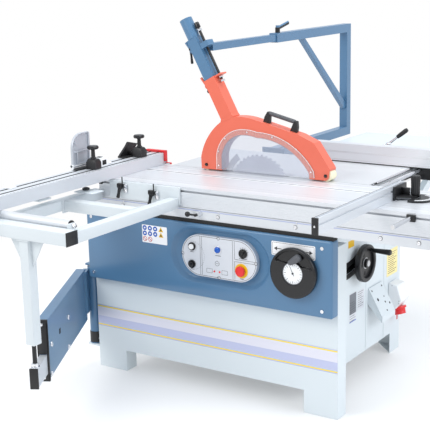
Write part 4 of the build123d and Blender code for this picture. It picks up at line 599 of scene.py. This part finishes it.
# Matt black strips that close the curved slot in the side wall on both sides of the wheel's shaft: painted shade seen
# through the slot.
turn = np.radians(np.linspace(-69.5, -121.5, 40))
strips = []
for near, far in ((354.0, 366.6), (386.2, 398.0)):
    points = np.zeros((len(turn), 4, 3))
    for k, (r, x) in enumerate(((near, 430.0), (far, 430.0), (far, 459.6), (near, 459.6))):
        points[:, k] = np.stack([turn * 0 + x, TILT_AXIS[0] + r * np.cos(turn),
                                 TILT_AXIS[1] + r * np.sin(turn)], -1)
    strips.append(strip(points))
piece("arc_slot_painted_shade", join(*strips), "base", RUBBER_AND_PAINTED_SHADE)

# --- Guard ------------------------------------------------------------------------------------------------
PANE_Y = 264.0


def arc_through(a, b, c, steps=14):
    """P(t) = centre + r (cos t, sin t) on the circle through a, b and c, with t from a to c."""
    (ax, ay), (bx, by), (cx, cy) = a, b, c
    d = 2 * (ax * (by - cy) + bx * (cy - ay) + cx * (ay - by))
    ux = ((ax**2 + ay**2) * (by - cy) + (bx**2 + by**2) * (cy - ay) + (cx**2 + cy**2) * (ay - by)) / d
    uy = ((ax**2 + ay**2) * (cx - bx) + (bx**2 + by**2) * (ax - cx) + (cx**2 + cy**2) * (bx - ax)) / d
    t = np.unwrap([math.atan2(y - uy, x - ux) for x, y in (a, b, c)])
    t = np.linspace(t[0], t[2], steps)
    r = math.hypot(ax - ux, ay - uy)
    return np.stack([ux + r * np.cos(t), uy + r * np.sin(t)], -1)


edge = np.concatenate([[(-118, 884), (-118, 912)], arc_through((-118, 940), (-88, 1004), (-20, 1040)),
                       arc_through((-20, 1040), (20, 1041), (60, 1034), 8)[1:],
                       arc_through((60, 1034), (230, 984), (308, 905), 20)[1:], [(310, 884)]])
run = np.gradient(edge, axis=0)
run /= np.linalg.norm(run, axis=1)[:, None]
aside = np.stack([-run[:, 1], run[:, 0]], -1)


def arch(near, far, d0, d1):
    """Strip that follows the arched opening between two distances outside its edge, from depth d0 to d1."""
    points = np.zeros((len(edge), 4, 3))
    for k, (off, depth) in enumerate(((near, d0), (far, d0), (far, d1), (near, d1))):
        points[:, k, ::2] = edge + aside * off
        points[:, k, 1] = depth
    return strip(points)


sheet = prism(edge + aside * 24, PANE_Y, PANE_Y + 2.6, 1)
piece("pane_sheet", sheet, "hood", CLEAR, ["hood_window"])
piece("pane_lap_film", arch(1.0, 23.4, PANE_Y - 0.5, PANE_Y - 0.2), "hood", LAP)
piece("pane_lap_edge", arch(22.6, 24.6, PANE_Y - 0.9, PANE_Y - 0.1), "hood", PAPER)
# Mauve strip round the inside of the opening: painted shade on the guard's orange inner wall.
piece("guard_inner_wall_painted_shade", arch(-2.0, -0.4, 267.5, 322.5), "hood", GUARD_WALL_PAINTED_SHADE)
pins = [(-131, 962), (-96, 1020), (14, 1054), (136, 1041), (250, 999), (318, 910), (-131, 900)]
piece("pane_screws", join(*[disc((x, PANE_Y, z), (0, -1, 0), 3.6, 2.2, 1.0, 20) for x, z in pins]), "hood",
      CHROME)
axles = [disc((x, 267.0, 899.5), (0, -1, 0), 7.5, 5.0, 1.2, 6) for x in (384, -196)]
axles += [disc((x, 323.0, 899.5), (0, 1, 0), 7.5, 5.0, 1.2, 6) for x in (384, -196)]
piece("roller_axle_bolts", join(*axles), "hood", GLOSS_BLACK)
SLOPE = (0.973, 0.0, -0.231)
RISE = (0.231, 0.0, 0.973)
HANDLE_FOOT = (160.0, 295.0, 1082.3)


def on_handle(shape):
    """Places a shape drawn along X on the sloping rim of the guard."""
    return set_on(shape, HANDLE_FOOT, SLOPE, RISE)


feet = []
for side in (-1, 1):
    outline = [(side * 82, -3), (side * 50, -3), (side * 56, 30), (side * 62, 45), (side * 72, 46),
               (side * 80, 22)]
    feet.append(prism(outline, -10, 10, 1))
piece("guard_handle_feet", on_handle(join(*feet)), "hood", BLACK_PLASTIC, ["hood_handle"], bevel=2.0)
ribs = [(0, 0), (7.5, 0)]
for k in range(22):
    ribs += [(9.0, 1 + 5.6 * k), (9.0, 4.2 + 5.6 * k), (7.9, 4.8 + 5.6 * k), (7.9, 6.0 + 5.6 * k)]
ribs += [(7.5, 125), (0, 125)]
piece("guard_handle_grip", on_handle(lathe(ribs, (-62.5, 0, 40), (1, 0, 0), 24)), "hood", GREY_PLASTIC)
wedge = prism([(-117.4, 1102.5), (-66.4, 1129.6), (-56, 1117), (-70, 1104), (-121, 1085)], 266.6, 323.4, 1)
piece("sleeve_foot", wedge, "hood", ORANGE_COAT, bevel=1.0)
LEAN = math.radians(28)
UP = np.array([-math.sin(LEAN), 0, math.cos(LEAN)])
OUT = np.array([math.cos(LEAN), 0, math.sin(LEAN)])
FOOT = np.array([-90.0, 295.0, 1112.0])


def tube_at(s, across=0.0, y=0.0):
    """Point s up the inclined tube, across towards +X, and y aside: foot + s up + across out + y."""
    return FOOT + s * UP + across * OUT + np.array([0, y, 0])


def hand_lever(root, boss, arm, length, radius=5.5):
    """Clamping lever: two lathe profiles, a round boss along one direction and a tapered arm along another."""
    boss, arm = np.array(boss, float), np.array(arm, float)
    arm /= np.linalg.norm(arm)
    head = lathe([(0, 0), (8.5, 0), (8.5, 14), (7, 19), (0, 20)], root, boss, 24)
    start = np.array(root) + boss / np.linalg.norm(boss) * 14
    reach = lathe([(0, 0), (radius + 1.5, 0), (radius, 14), (radius - 0.8, length * 0.5),
                   (radius + 0.8, length - 4), (radius - 1, length), (0, length)], start, arm, 20)
    return join(head, reach)


piece("sleeve_lever", hand_lever(tube_at(138, -30), -OUT, (-0.25, 0, 1.0), 46), "hood", GLOSS_BLACK)
lever = join(rod((-199.5, 895, 1422.7), (-199.5, 895, 1447), 11.5),
             lathe([(0, 0), (9, 0), (7.6, 20), (7.2, 60), (7.6, 104), (0, 105)], (-199.5, 891, 1440),
                   (0, math.sin(math.radians(78)), math.cos(math.radians(78))), 20))
piece("gantry_lever", lever, "base", GLOSS_BLACK)
piece("tube_lever", hand_lever(tube_at(336, -26), -OUT, (0.1, 0, -1.0), 62), "gantry_arm", GLOSS_BLACK)
pitch = np.arange(0, 240, 2.0)
thread = [(0, 0)] + [(r, s) for k, s in enumerate(pitch) for r in ([5.6, 6.2][k % 2],)] + [(0, 240)]
piece("height_screw_thread", lathe(thread, tube_at(156, 41.9), UP, 20), "screw", GLOSS_BLACK,
      ["height_screw"])
nuts = [disc(tube_at(s, 41.9), UP, 11, 9, 1.0, 6) for s in (144, 163, 382)]
piece("height_screw_nuts", join(*nuts), "screw", CHROME)
piece("height_screw_knob", lathe([(0, 0), (8, 0), (11, 3), (11, 22), (9, 26), (0, 27)], tube_at(396, 41.9),
                                 UP, 24), "screw", GLOSS_BLACK)

# --- Crosscut fence -----------------------------------------------------------------------------------------
TOP = 927.3
# Black fills along the walls of the fence's two top slots: painted shade in the slots.
grooves = [block((-516.4 + dx, -1079.6, TOP - 6), (-514.0 + dx, 299.6, TOP + 0.15), 0.1)
           for dx in (-4, 6.5, 40.5, 49.5)]
piece("crosscut_slot_painted_shade", join(*grooves), "crosscut", INK_AND_PAINTED_SHADE)
scale_marks = [((-444, y), (-450 - 4 * (k % 5 == 0), y)) for k, y in enumerate(range(-1060, 280, 20))]
scale_bars = strokes(scale_marks, 1.4, TOP - 0.1, TOP + 0.25, 2)
piece("crosscut_scale_marks", scale_bars, "crosscut", INK_AND_PAINTED_SHADE)
red = [block((-541.5, 300.2, 875.5), (-434, 306.5, 936), 1.5),
       block((-541.5, 288, 927.5), (-434, 306, 938), 2.5), block((-541.5, 288, 927.5), (-528, 306, 936), 2.5),
       block((-440, 299, 875.6), (-410, 306.4, 884), 2), block((-441, 286, 890), (-433, 306, 938), 2)]
piece("crosscut_end_guard", join(*red), "crosscut", RED_PLASTIC)
clips = [block((-523, -46, 927.4), (-492, -16, 934), 2), block((-512, -40, 933), (-500, -24, 943), 2.5),
         block((-541.5, -626, 927.4), (-500, -590, 934), 2), block((-536, -618, 933), (-520, -598, 946), 3)]
piece("crosscut_cursor_clips", join(*clips), "crosscut", WHITE_PLASTIC_AND_PAINTED_HIGHLIGHT)
mushroom = [(0, 0), (9, 0), (8, 34), (12, 37), (22, 39), (24.5, 43), (24.5, 48), (21, 52.5), (11, 54),
            (0, 54.3)]
for name, y, body in (("flip_stop", -150, "flip_stop"), ("second_stop", 165, "second_stop")):
    housing = loops([(rounded(-507, -456, y - 22, y + 22, 5), 927.6),
                     (rounded(-507, -456, y - 22, y + 22, 5), 956),
                     (rounded(-501, -462, y - 17, y + 17, 6), 968),
                     (rounded(-496, -468, y - 12, y + 12, 5), 971)], 2)
    shoe = block((-548, y - 71, 927.6), (-512, y + 52, 932.4), 1.0)
    collar = disc((-482, y, 969), (0, 0, 1), 12, 7, 2.0)
    base_shape = [housing, collar, shoe]
    if name == "second_stop":
        blade = [(y - 76, 932), (y - 22, 974), (y - 6, 990), (y + 60, 974), (y + 26, 948), (y - 12, 932)]
        base_shape += [prism(blade, -546, -536, 0), block((-538, y - 10, 932), (-505, y + 10, 950), 3)]
    piece(name + "_housing", join(*base_shape), body, BLACK_PLASTIC, [name])
    piece(name + "_mushroom", lathe(mushroom, (-482, y, 972), (0, 0, 1)), body, GLOSS_BLACK)
white = [block((-513, -127, 927.8), (-464, -71, 968), 6), block((-512, -74, 936), (-486, -60, 962), 4),
         rod((-541, -222, 943.6), (-541, -97, 943.6), 6), block((-548, -222, 928), (-532, -216, 950), 2),
         block((-548, -103, 928), (-532, -97, 950), 2)]
piece("sight_glass_carrier", join(*white), "flip_stop", WHITE_PLASTIC_AND_PAINTED_HIGHLIGHT)
piece("sight_glass", join(block((-464.6, -114, 938), (-463.4, -88, 958), 3),
                          block((-502, -114, 967.4), (-478, -88, 968.6), 3)), "flip_stop", RUBBER_AND_PAINTED_SHADE)
a = np.linspace(0, np.pi / 2, 12)
y0, y1, z0, z1, r = -215.4, -103.6, 936.0, 1075.4, 58.0
flap = np.concatenate([[(y1, z0), (y1, z1 - 6), (y1 - 6, z1)],
                       np.stack([y0 + r - r * np.sin(a), z1 - r + r * np.cos(a)], -1), [(y0, z0)]])
centre = flap.mean(0)
inner = centre + (flap - centre) * (0.87, 0.88)
plate_skin = loops([(flap, -546.4), (flap, -536.4), (flap * 0.985 + centre * 0.015, -535.4), (inner, -535.4),
                    (inner * 0.985 + centre * 0.015, -541.0)], 0)
ribbing = [block((-541.2, y0 + 6, 996), (-535.4, y1 - 4, 1003), 1.5),
           block((-541.2, -190, z0), (-535.4, -183, 998), 1.5),
           rod((-541, y0 + 20, 1040), (-535, y0 + 20, 1040), 7)]
piece("stop_flap_casting", join(plate_skin, *ribbing), "stop_flap", CAST_GREY, ["stop_flap"])

# --- Outrigger ----------------------------------------------------------------------------------------------
piece("cross_tube_plugs", join(block((-60.6, -820.6, 799.4), (-56.5, -759.4, 850.6), 1.2),
                               block((-563.5, -820.6, 799.4), (-559.4, -759.4, 850.6), 1.2)), "table",
      BLACK_PLASTIC)
levers, plates, pegs = [], [], []
for x, z in ((-390, 852), (-228, 838)):
    levers.append(hand_lever((x, -85, z - 6), (0, -1, 0), (-0.12, -0.2, -1), 44, 7.0))
    levers.append(block((x - 16, -101, z - 8), (x + 12, -87, z + 12), 4))
    pegs.append(rod((x + 12, -96, z - 4), (x + 12, -96, z + 40), 2.6))
    plates.append(block((x + 14, -92, z - 26), (x + 32, -86.5, z + 10), 2))
    plates += [disc((x + 22, -92, z - dz), (0, -1, 0), 3.4, 2.4, 0.8, 16) for dz in (-2, 10, 20)]
piece("outrigger_levers", join(*levers, *pegs), "table", GLOSS_BLACK)
piece("outrigger_lever_plates", join(*plates), "table", CHROME)
piece("roller_bearings", join(disc((-105.2, *ROLLER), (1, 0, 0), 18.2, 3.2),
                              disc((-548.8, *ROLLER), (-1, 0, 0), 18.2, 0.9)), "roller", BLACK_PLASTIC)
piece("roller_axle_nuts", join(disc((-93.5, *ROLLER), (1, 0, 0), 9, 9, 1, 6),
                               rod((-102, *ROLLER), (-80, *ROLLER), 4.5)), "table", CHROME)
piece("fence_rest", join(block((-500, -262, 846), (-400, -190, 850), 1.5),
                         block((-560, -470, 846), (-500, -400, 852), 1.5)), "table", GREY_COAT)
piece("fence_rest_knob", lathe([(0, 0), (14, 0), (16, 3), (15, 9), (8, 12), (0, 12.5)], (-474, -216, 850),
                               (0, 0, 1), 32), "table", GLOSS_BLACK)

# --- Swing arm ----------------------------------------------------------------------------------------------
ARM = math.radians(28.1)


def on_arm(shape):
    """Turns a shape drawn in the arm's own axes to the arm's rest place on its hinge."""
    return set_on(shape, (-632.0, -10.0, 0.0), (math.cos(ARM), math.sin(ARM), 0), (0, 0, 1))


bolts = [disc((-30, y, z), (1, 0, 0), 10.5, 6, 3.0, 24)
         for y, z in ((-393, 344), (-685, 334), (-410, 222), (-708, 222))]
bolts += [disc((-70, y, z), (-1, 0, 0), 8.5, 4.5, 2.0, 24)
          for y, z in ((-393, 344), (-685, 334), (-410, 240))]
piece("swing_arm_bolts", on_arm(join(*bolts)), "swing_arm", CHROME)
piece("swing_arm_window", on_arm(block((-30.2, -550, 325), (-29.6, -528, 347), 0.2)), "swing_arm", RUBBER_AND_PAINTED_SHADE)
frame_bars = [block((-72, -738, 200), (-28, -726, 231), 1.5), block((-72, -738, 310), (-28, -726, 448), 1.5),
              block((-36, -738, 205), (-28, -726, 440), 1.5), block((-72, -738, 205), (-66, -726, 440), 1.5)]
piece("arm_end_frame", on_arm(join(*frame_bars)), "swing_arm", BLACK_PLASTIC)
piece("arm_end_screws", on_arm(join(disc((-50, -738, 216), (0, -1, 0), 6, 3, 1, 20),
                                    disc((-50, -738, 430), (0, -1, 0), 6, 3, 1, 20))), "swing_arm", CHROME)
extension = [block((-36.2, -879, z), (-35.2, -360, z + 4), 0.4) for z in range(238, 304, 8)]
piece("arm_extension_ribs", on_arm(join(*extension)), "arm_extension", ALU_Y)
piece("arm_extension_cap", on_arm(block((-66.6, -887, 228.5), (-33.4, -879.6, 309.5), 2)), "arm_extension",
      BLACK_PLASTIC)
threads = [(0, 0)] + [([8.2, 8.9][k % 2], s) for k, s in enumerate(np.arange(0, 86, 2.0))] + [(0, 86)]
piece("support_rod_thread", on_arm(lathe(threads, (-50, -857.5, 309), (0, 0, 1), 20)), "arm_extension",
      BLACK_PLASTIC)
piece("support_rod_nut", on_arm(join(disc((-50, -857.5, 308.4), (0, 0, 1), 15, 12, 1.2, 6),
                                     disc((-50, -857.5, 308.1), (0, 0, 1), 17, 1.6))), "arm_extension",
      CHROME)
piece("hinge_foot_sleeve", join(rod((-632, -10, 97), (-632, -10, 152), 28),
                                disc((-606.5, -21, 122), (0.92, -0.39, 0), 7, 2.5)), "swing_arm",
      BLACK_PLASTIC)
piece("hinge_foot_plate", block((-660, -34, 86.6), (-594, 14, 96.6), 1.5), "base", GREY_COAT)
piece("hinge_foot_screw", disc((-605.5, -21.4, 122), (0.92, -0.39, 0), 5, 4), "swing_arm", CHROME)

# --- Mitre fence --------------------------------------------------------------------------------------------
# Black lines in the fence's top and side grooves: painted shade in the grooves.
piece("mitre_top_groove_painted_shade", block((747.6, -518, 931.7), (750.2, 175, 932.55), 0.2), "mitre", INK_AND_PAINTED_SHADE)
piece("mitre_side_groove_painted_shade", block((746.7, -515, 912.5), (747.1, 175, 916), 0.15), "mitre", INK_AND_PAINTED_SHADE)
piece("mitre_end_plug", block((745.4, -523, 874.6), (768.6, -514.5, 933.4), 1.2), "mitre", BLACK_PLASTIC)
piece("mitre_end_screw", disc((757, -523, 904), (0, -1, 0), 3.6, 1.4, 0.6, 20), "mitre", CHROME)
FLUTES = 12
angle = np.linspace(0, 2 * np.pi, 96, endpoint=False)
lobes = 1 + 0.06 * np.cos(FLUTES * angle)
levels = [(0.62, 891), (0.9, 893), (1.0, 898), (0.98, 920), (1.06, 950), (1.1, 961), (1.0, 966), (0.5, 968)]
fluted = loops([(np.stack([MITRE_PIVOT[0] + 16 * s * lobes * np.cos(angle),
                           MITRE_PIVOT[1] + 16 * s * lobes * np.sin(angle)], -1), z) for s, z in levels], 2)
piece("mitre_knob", fluted, "mitre_handle", BLACK_PLASTIC, ["mitre_handle"])
arc = np.linspace(np.radians(-78), np.radians(78), 40)
sector = np.array([[(840 + r * math.cos(b), 130 + r * math.sin(b)) for b in arc] for r in (46, 60)])
scale_points = np.zeros((40, 4, 3))
for k, (r_index, z) in enumerate(((0, 883.0), (1, 883.0), (1, 883.9), (0, 883.9))):
    scale_points[:, k, :2] = sector[r_index]
    scale_points[:, k, 2] = z
piece("protractor_scale", strip(scale_points), "protractor", WHITE_PLASTIC_AND_PAINTED_HIGHLIGHT)
piece("protractor_marks", ticks(840, 130, 48, 58, range(-75, 76, 5), 0.9, 883.8, 884.15, 2), "protractor",
      INK_AND_PAINTED_SHADE)
piece("protractor_pointer", block((896, 122, 883.5), (914, 132, 890), 2), "protractor", RED_PLASTIC)
head_web = [block((768.2, 68, 876), (777, 176, 928), 2),
            prism([(776, 80), (776, 170), (846, 146), (846, 114)], 884.6, 891.2, 2),
            block((776, 126, 890), (812, 134, 918), 2)]
piece("mitre_head_casting", join(*head_web), "mitre", BLACK_PLASTIC)

# --- Rip fence and its head -----------------------------------------------------------------------------------
stem = np.array([math.sin(math.radians(52)), 0, math.cos(math.radians(52))])
pivot = np.array([430.0, 772.0, 959.0])
piece("fence_lever_stem", join(disc((430, 772, 945.4), (0, 0, 1), 11.5, 18, 2),
                               rod(pivot, pivot + stem * 58, 5.2),
                               disc((408, 775, 945.4), (0, 0, 1), 7, 10, 2)), "fence_lever", CHROME,
      ["fence_lever"])
piece("fence_lever_grip", lathe([(0, 0), (7, 0), (8.5, 3), (9.6, 20), (10, 50), (8, 58), (0, 60)],
                                pivot + stem * 52, stem, 28), "fence_lever", BLACK_PLASTIC)
piece("table_edge_shadow_strip", block((566.2, 312, 868), (573, 690, 873.6), 0.5), "base", RUBBER_AND_PAINTED_SHADE)
tips = []
for tooth in range(40):
    corners = [(math.radians(9 * (tooth + turn)), r)
               for turn, r in ((0.27, 143), (0.305, 149.8), (0.47, 148.4), (0.44, 143))]
    tips.append(prism([(BLADE[0] + r * math.cos(a), BLADE[1] + r * math.sin(a)) for a, r in corners], 293.2,
                      296.8, 1))
piece("carbide_tips", join(*tips), "blade", CARBIDE)
# Matt black strip along the fence's foot: painted shadow where the fence meets the table.
piece("rip_fence_foot_painted_shadow", block((97, 699.0, 875.4), (813, 700.4, 879), 0.3), "rip_fence", RUBBER_AND_PAINTED_SHADE)
rip_lines = [block((97, 699.6, z), (813, 700.2, z + 1.4), 0.2) for z in (885, 917, 921)]
piece("rip_fence_grooves", join(*rip_lines), "rip_fence", STEEL_AND_PAINTED_SHADE)

# --- Table, rail and their hardware ----------------------------------------------------------------------------
side = [block((-518, -75.5, z), (1078, -74.9, z + 2.2), 0.2)
        for z in (797, 803, 809, 815, 821, 827, 833, 839)]
piece("table_side_ribs", join(*side), "table", ALU_X)
# White lines across the sliding table's top: painted highlights along its slots and grooves.
top = [prism([(y, 874.8), (y + w, 874.8), (y + w, 875.25), (y, 875.25)], -519, 1079, 0)
       for y, w in ((-33, 5), (146, 8), (170, 8), (236, 4))]
piece("table_top_painted_highlights", join(*top), "table", WHITE_PLASTIC_AND_PAINTED_HIGHLIGHT)
# Darker steel lines beside the white ones: painted shade in the table's grooves.
dark = [prism([(y, 874.8), (y + w, 874.8), (y + w, 875.2), (y, 875.2)], -519, 1079, 0)
        for y, w in ((-26, 2.5), (-10, 1.6), (20, 1.6), (227, 3), (261, 3))]
piece("table_top_groove_painted_shade", join(*dark), "table", STEEL_AND_PAINTED_SHADE)
# Pale blue-grey line along the top of the guide rail: painted reflection.
piece("rail_painted_reflection_line", block((-559, -70.4, 780), (1059, -69.9, 784), 0.15), "base", RAIL_PAINTED_REFLECTION)
piece("rail_shadow_gasket", block((-559, -74, 729.0), (594, -36, 744.6), 1.0), "base", RUBBER_AND_PAINTED_SHADE)
gap = [block((x0, 290.7, 866), (x1, 293.5, 874.2), 0.3) for x0, x1 in ((-399, -150), (230, 564))]
piece("table_gap_shadow_strip", join(*gap), "base", RUBBER_AND_PAINTED_SHADE)
# Dark discs round the rail's bolt heads: painted shade in the bolts' wells.
bolt_heads, bolt_wells = [], []
for x in (-400, 78, 431, 784, 933):
    bolt_wells.append(disc((x, -70, 765), (0, -1, 0), 9, 0.5, 0.2))
    bolt_heads.append(disc((x, -70.3, 765), (0, -1, 0), 6.5, 3.4, 1.2, 6))
    bolt_heads.append(disc((x + 8, -70, 778), (0, -1, 0), 2.2, 1.4, 0.5, 12))
piece("rail_bolt_well_painted_shade", join(*bolt_wells), "base", INK_AND_PAINTED_SHADE)
piece("rail_bolt_heads", join(*bolt_heads), "base", CHROME)
piece("table_slot_plug", block((-520.6, -76.4, 846), (-500, -68, 866), 1.5), "table", BLACK_PLASTIC)
tubes = [block((-560, -820, 800), (-60, -760, 850), 4), block((-540, -760.5, 783), (-495, -84.5, 828), 4),
         block((-145, -760.5, 783), (-100, -84.5, 828), 4),
         block((-495.5, -340, 783), (-144.5, -290, 828), 4), block((-455, -85, 798), (-95, -75.2, 871), 1.5),
         block((-293, -811, 396.2), (-251, -769, 801), 3), block((-560, -761, 829), (-549, -726, 866), 2),
         block((-105, -761, 829), (-94, -726, 866), 2), block((-495.4, -346, 776), (-489, -284, 829), 1),
         block((-151, -346, 776), (-144.6, -284, 829), 1), block((-300, -816, 794), (-244, -764, 800.4), 1),
         prism([(-292, 800), (-354, 800), (-292, 690)], -792, -788, 1),
         prism([(-252, 800), (-190, 800), (-252, 690)], -792, -788, 1)]
piece("outrigger_tubes", join(*tubes), "table", PALE_COAT, ["outrigger_frame"])
piece("push_rod_holder", join(block((888, -84, 843), (922, -75.2, 869), 2.5)), "table", BLACK_PLASTIC)

# --- Inlet, bracket and side wall ---------------------------------------------------------------------------------
inlet = [(462, 222), (499, 222), (526, 262), (504, 332), (462, 340)]
piece("inlet_housing", prism(inlet, 719, 805, 1), "base", WHITE_PLASTIC_AND_PAINTED_HIGHLIGHT, ["power_inlet"], bevel=4.0)
tilted = (0.28, -0.1, -1.0)
socket = [(0, 0), (33, 0), (34, 3), (34, 9), (28, 11), (27, 30), (28.5, 34), (25.5, 35), (24.5, 14), (0, 13)]
piece("inlet_socket_shell", lathe(socket, (494, 762, 224), tilted, 40), "base", RED_PLASTIC)
piece("inlet_screws", join(*[disc((514, 719.5, z), (0, -1, 0), 3, 1.2) for z in (250, 262)],
                           disc((480, 719.5, 330), (0, -1, 0), 3, 1.2)), "base", STEEL_AND_PAINTED_SHADE)
piece("orange_tag", prism(rounded(812, 826, 140, 176, 2), *WALL_STICKER, 0), "base", SIGN_RED)
piece("shield_label", prism(rounded(318, 372, 592, 622, 3), *WALL_STICKER, 0), "base", SIGN_YELLOW)
# Dark discs on the bracket where its holes are: painted shade in the holes.
normal = np.array([120.0, 0, 66.0])
normal /= np.linalg.norm(normal)
holes = []
for s, y, r in ((0.12, 524, 4), (0.12, 622, 4), (0.45, 540, 7), (0.62, 590, 4.5), (0.72, 622, 5),
                (0.88, 574, 4), (0.45, 600, 3)):
    place = np.array([466.0, y, 370.0]) * (1 - s) + np.array([532.0, y, 250.0]) * s
    holes.append(disc(place - normal * 0.2, normal, r, 0.9, 0.3, 20))
piece("bracket_hole_painted_shade", join(*holes), "base", INK_AND_PAINTED_SHADE)
folds = [block((462, y, 100), (463.2, y + 14, 700), 0.5) for y in (232, 486, 668)]
piece("side_wall_folds", join(*folds), "base", GREY_COAT)

# --- Camera, light and floor ------------------------------------------------------------------------------
YAW, PITCH, ROLL = (math.radians(a) for a in (33.67, 13.25, 1.35))
ahead = Vector((-math.sin(YAW) * math.cos(PITCH), math.cos(YAW) * math.cos(PITCH), -math.sin(PITCH)))
across = Vector((math.cos(YAW), math.sin(YAW), 0.0))
down = ahead.cross(across)
right = math.cos(ROLL) * across + math.sin(ROLL) * down
below = math.cos(ROLL) * down - math.sin(ROLL) * across
view = Matrix((right, -below, -ahead)).transposed().to_4x4()
view.translation = (2.3928, -3.5635, 1.7613)
lens_data = bpy.data.cameras.new("camera")
lens_data.lens, lens_data.sensor_width = 90.6, 36.0
lens_data.clip_end = 60.0
camera = bpy.data.objects.new("camera", lens_data)
camera.matrix_world = view
bpy.context.scene.collection.objects.link(camera)
bpy.context.scene.camera = camera


def pale_floor():
    """Matt white studio floor that fades into the white backdrop between 1.3 m and 3 m from the machine."""
    made, tree = start("pale_floor")
    place = add(tree, "ShaderNodeTexCoord").outputs["Object"]
    away = add(tree, "ShaderNodeVectorMath", {0: place}, operation="LENGTH").outputs["Value"]
    share = add(tree, "ShaderNodeMapRange", {0: away, 1: 1.3, 2: 3.0, 3: 0.25, 4: 1.0}).outputs[0]
    grain = add(tree, "ShaderNodeTexNoise", {"Vector": place, "Scale": 150.0}).outputs[0]
    rough = add(tree, "ShaderNodeMapRange", {0: grain, 3: 0.7, 4: 0.85}).outputs[0]
    matt = add(tree, "ShaderNodeBsdfPrincipled", {"Base Color": linear("#FDFDFD"),
                                                  "Roughness": rough}).outputs[0]
    glow = add(tree, "ShaderNodeEmission", {"Color": linear("#FFFFFF"), "Strength": 1.0}).outputs[0]
    add(tree, "ShaderNodeOutputMaterial", {"Surface": add(tree, "ShaderNodeMixShader",
                                                          {0: share, 1: matt, 2: glow}).outputs[0]})
    return made


def lamp(name, place, aim, size, power, colour="#FFFFFF"):
    """Rectangular softbox at a place in metres, turned towards its aim."""
    data = bpy.data.lights.new(name, "AREA")
    data.shape, data.size, data.size_y, data.energy = "RECTANGLE", size[0], size[1], power
    data.color = linear(colour)[:3]
    made = bpy.data.objects.new(name, data)
    made.location = place
    made.rotation_euler = (Vector(aim) - Vector(place)).to_track_quat("-Z", "Y").to_euler()
    bpy.context.scene.collection.objects.link(made)


lamp("key_softbox", (-1.6, -3.6, 3.6), (0.0, 0.2, 0.7), (2.2, 2.2), 88, "#FFFDF8")
lamp("right_softbox", (4.2, 0.4, 2.6), (0.3, 0.4, 0.6), (2.4, 2.0), 64, "#F6FAFF")
lamp("top_softbox", (0.2, 0.8, 4.4), (0.2, 0.3, 0.8), (3.2, 3.2), 80)
floor_mesh = bpy.data.meshes.new("floor")
floor_mesh.from_pydata([(-30, -30, -0.001), (30, -30, -0.001), (30, 30, -0.001), (-30, 30, -0.001)], [],
                       [(0, 1, 2, 3)])
floor_mesh.materials.append(pale_floor())
floor = bpy.data.objects.new("floor", floor_mesh)
bpy.context.scene.collection.objects.link(floor)
sky = bpy.data.worlds.new("studio")
sky.use_nodes = True
tree = sky.node_tree
tree.nodes.clear()
soft = add(tree, "ShaderNodeBackground", {"Color": linear("#EEF3FA"), "Strength": 0.95}).outputs[0]
seen = add(tree, "ShaderNodeBackground", {"Color": linear("#FFFFFF"), "Strength": 1.0}).outputs[0]
direct = add(tree, "ShaderNodeLightPath").outputs["Is Camera Ray"]
add(tree, "ShaderNodeOutputWorld", {"Surface": add(tree, "ShaderNodeMixShader",
                                                   {0: direct, 1: soft, 2: seen}).outputs[0]})
bpy.context.scene.world = sky
bpy.context.scene.view_settings.view_transform = "Standard"
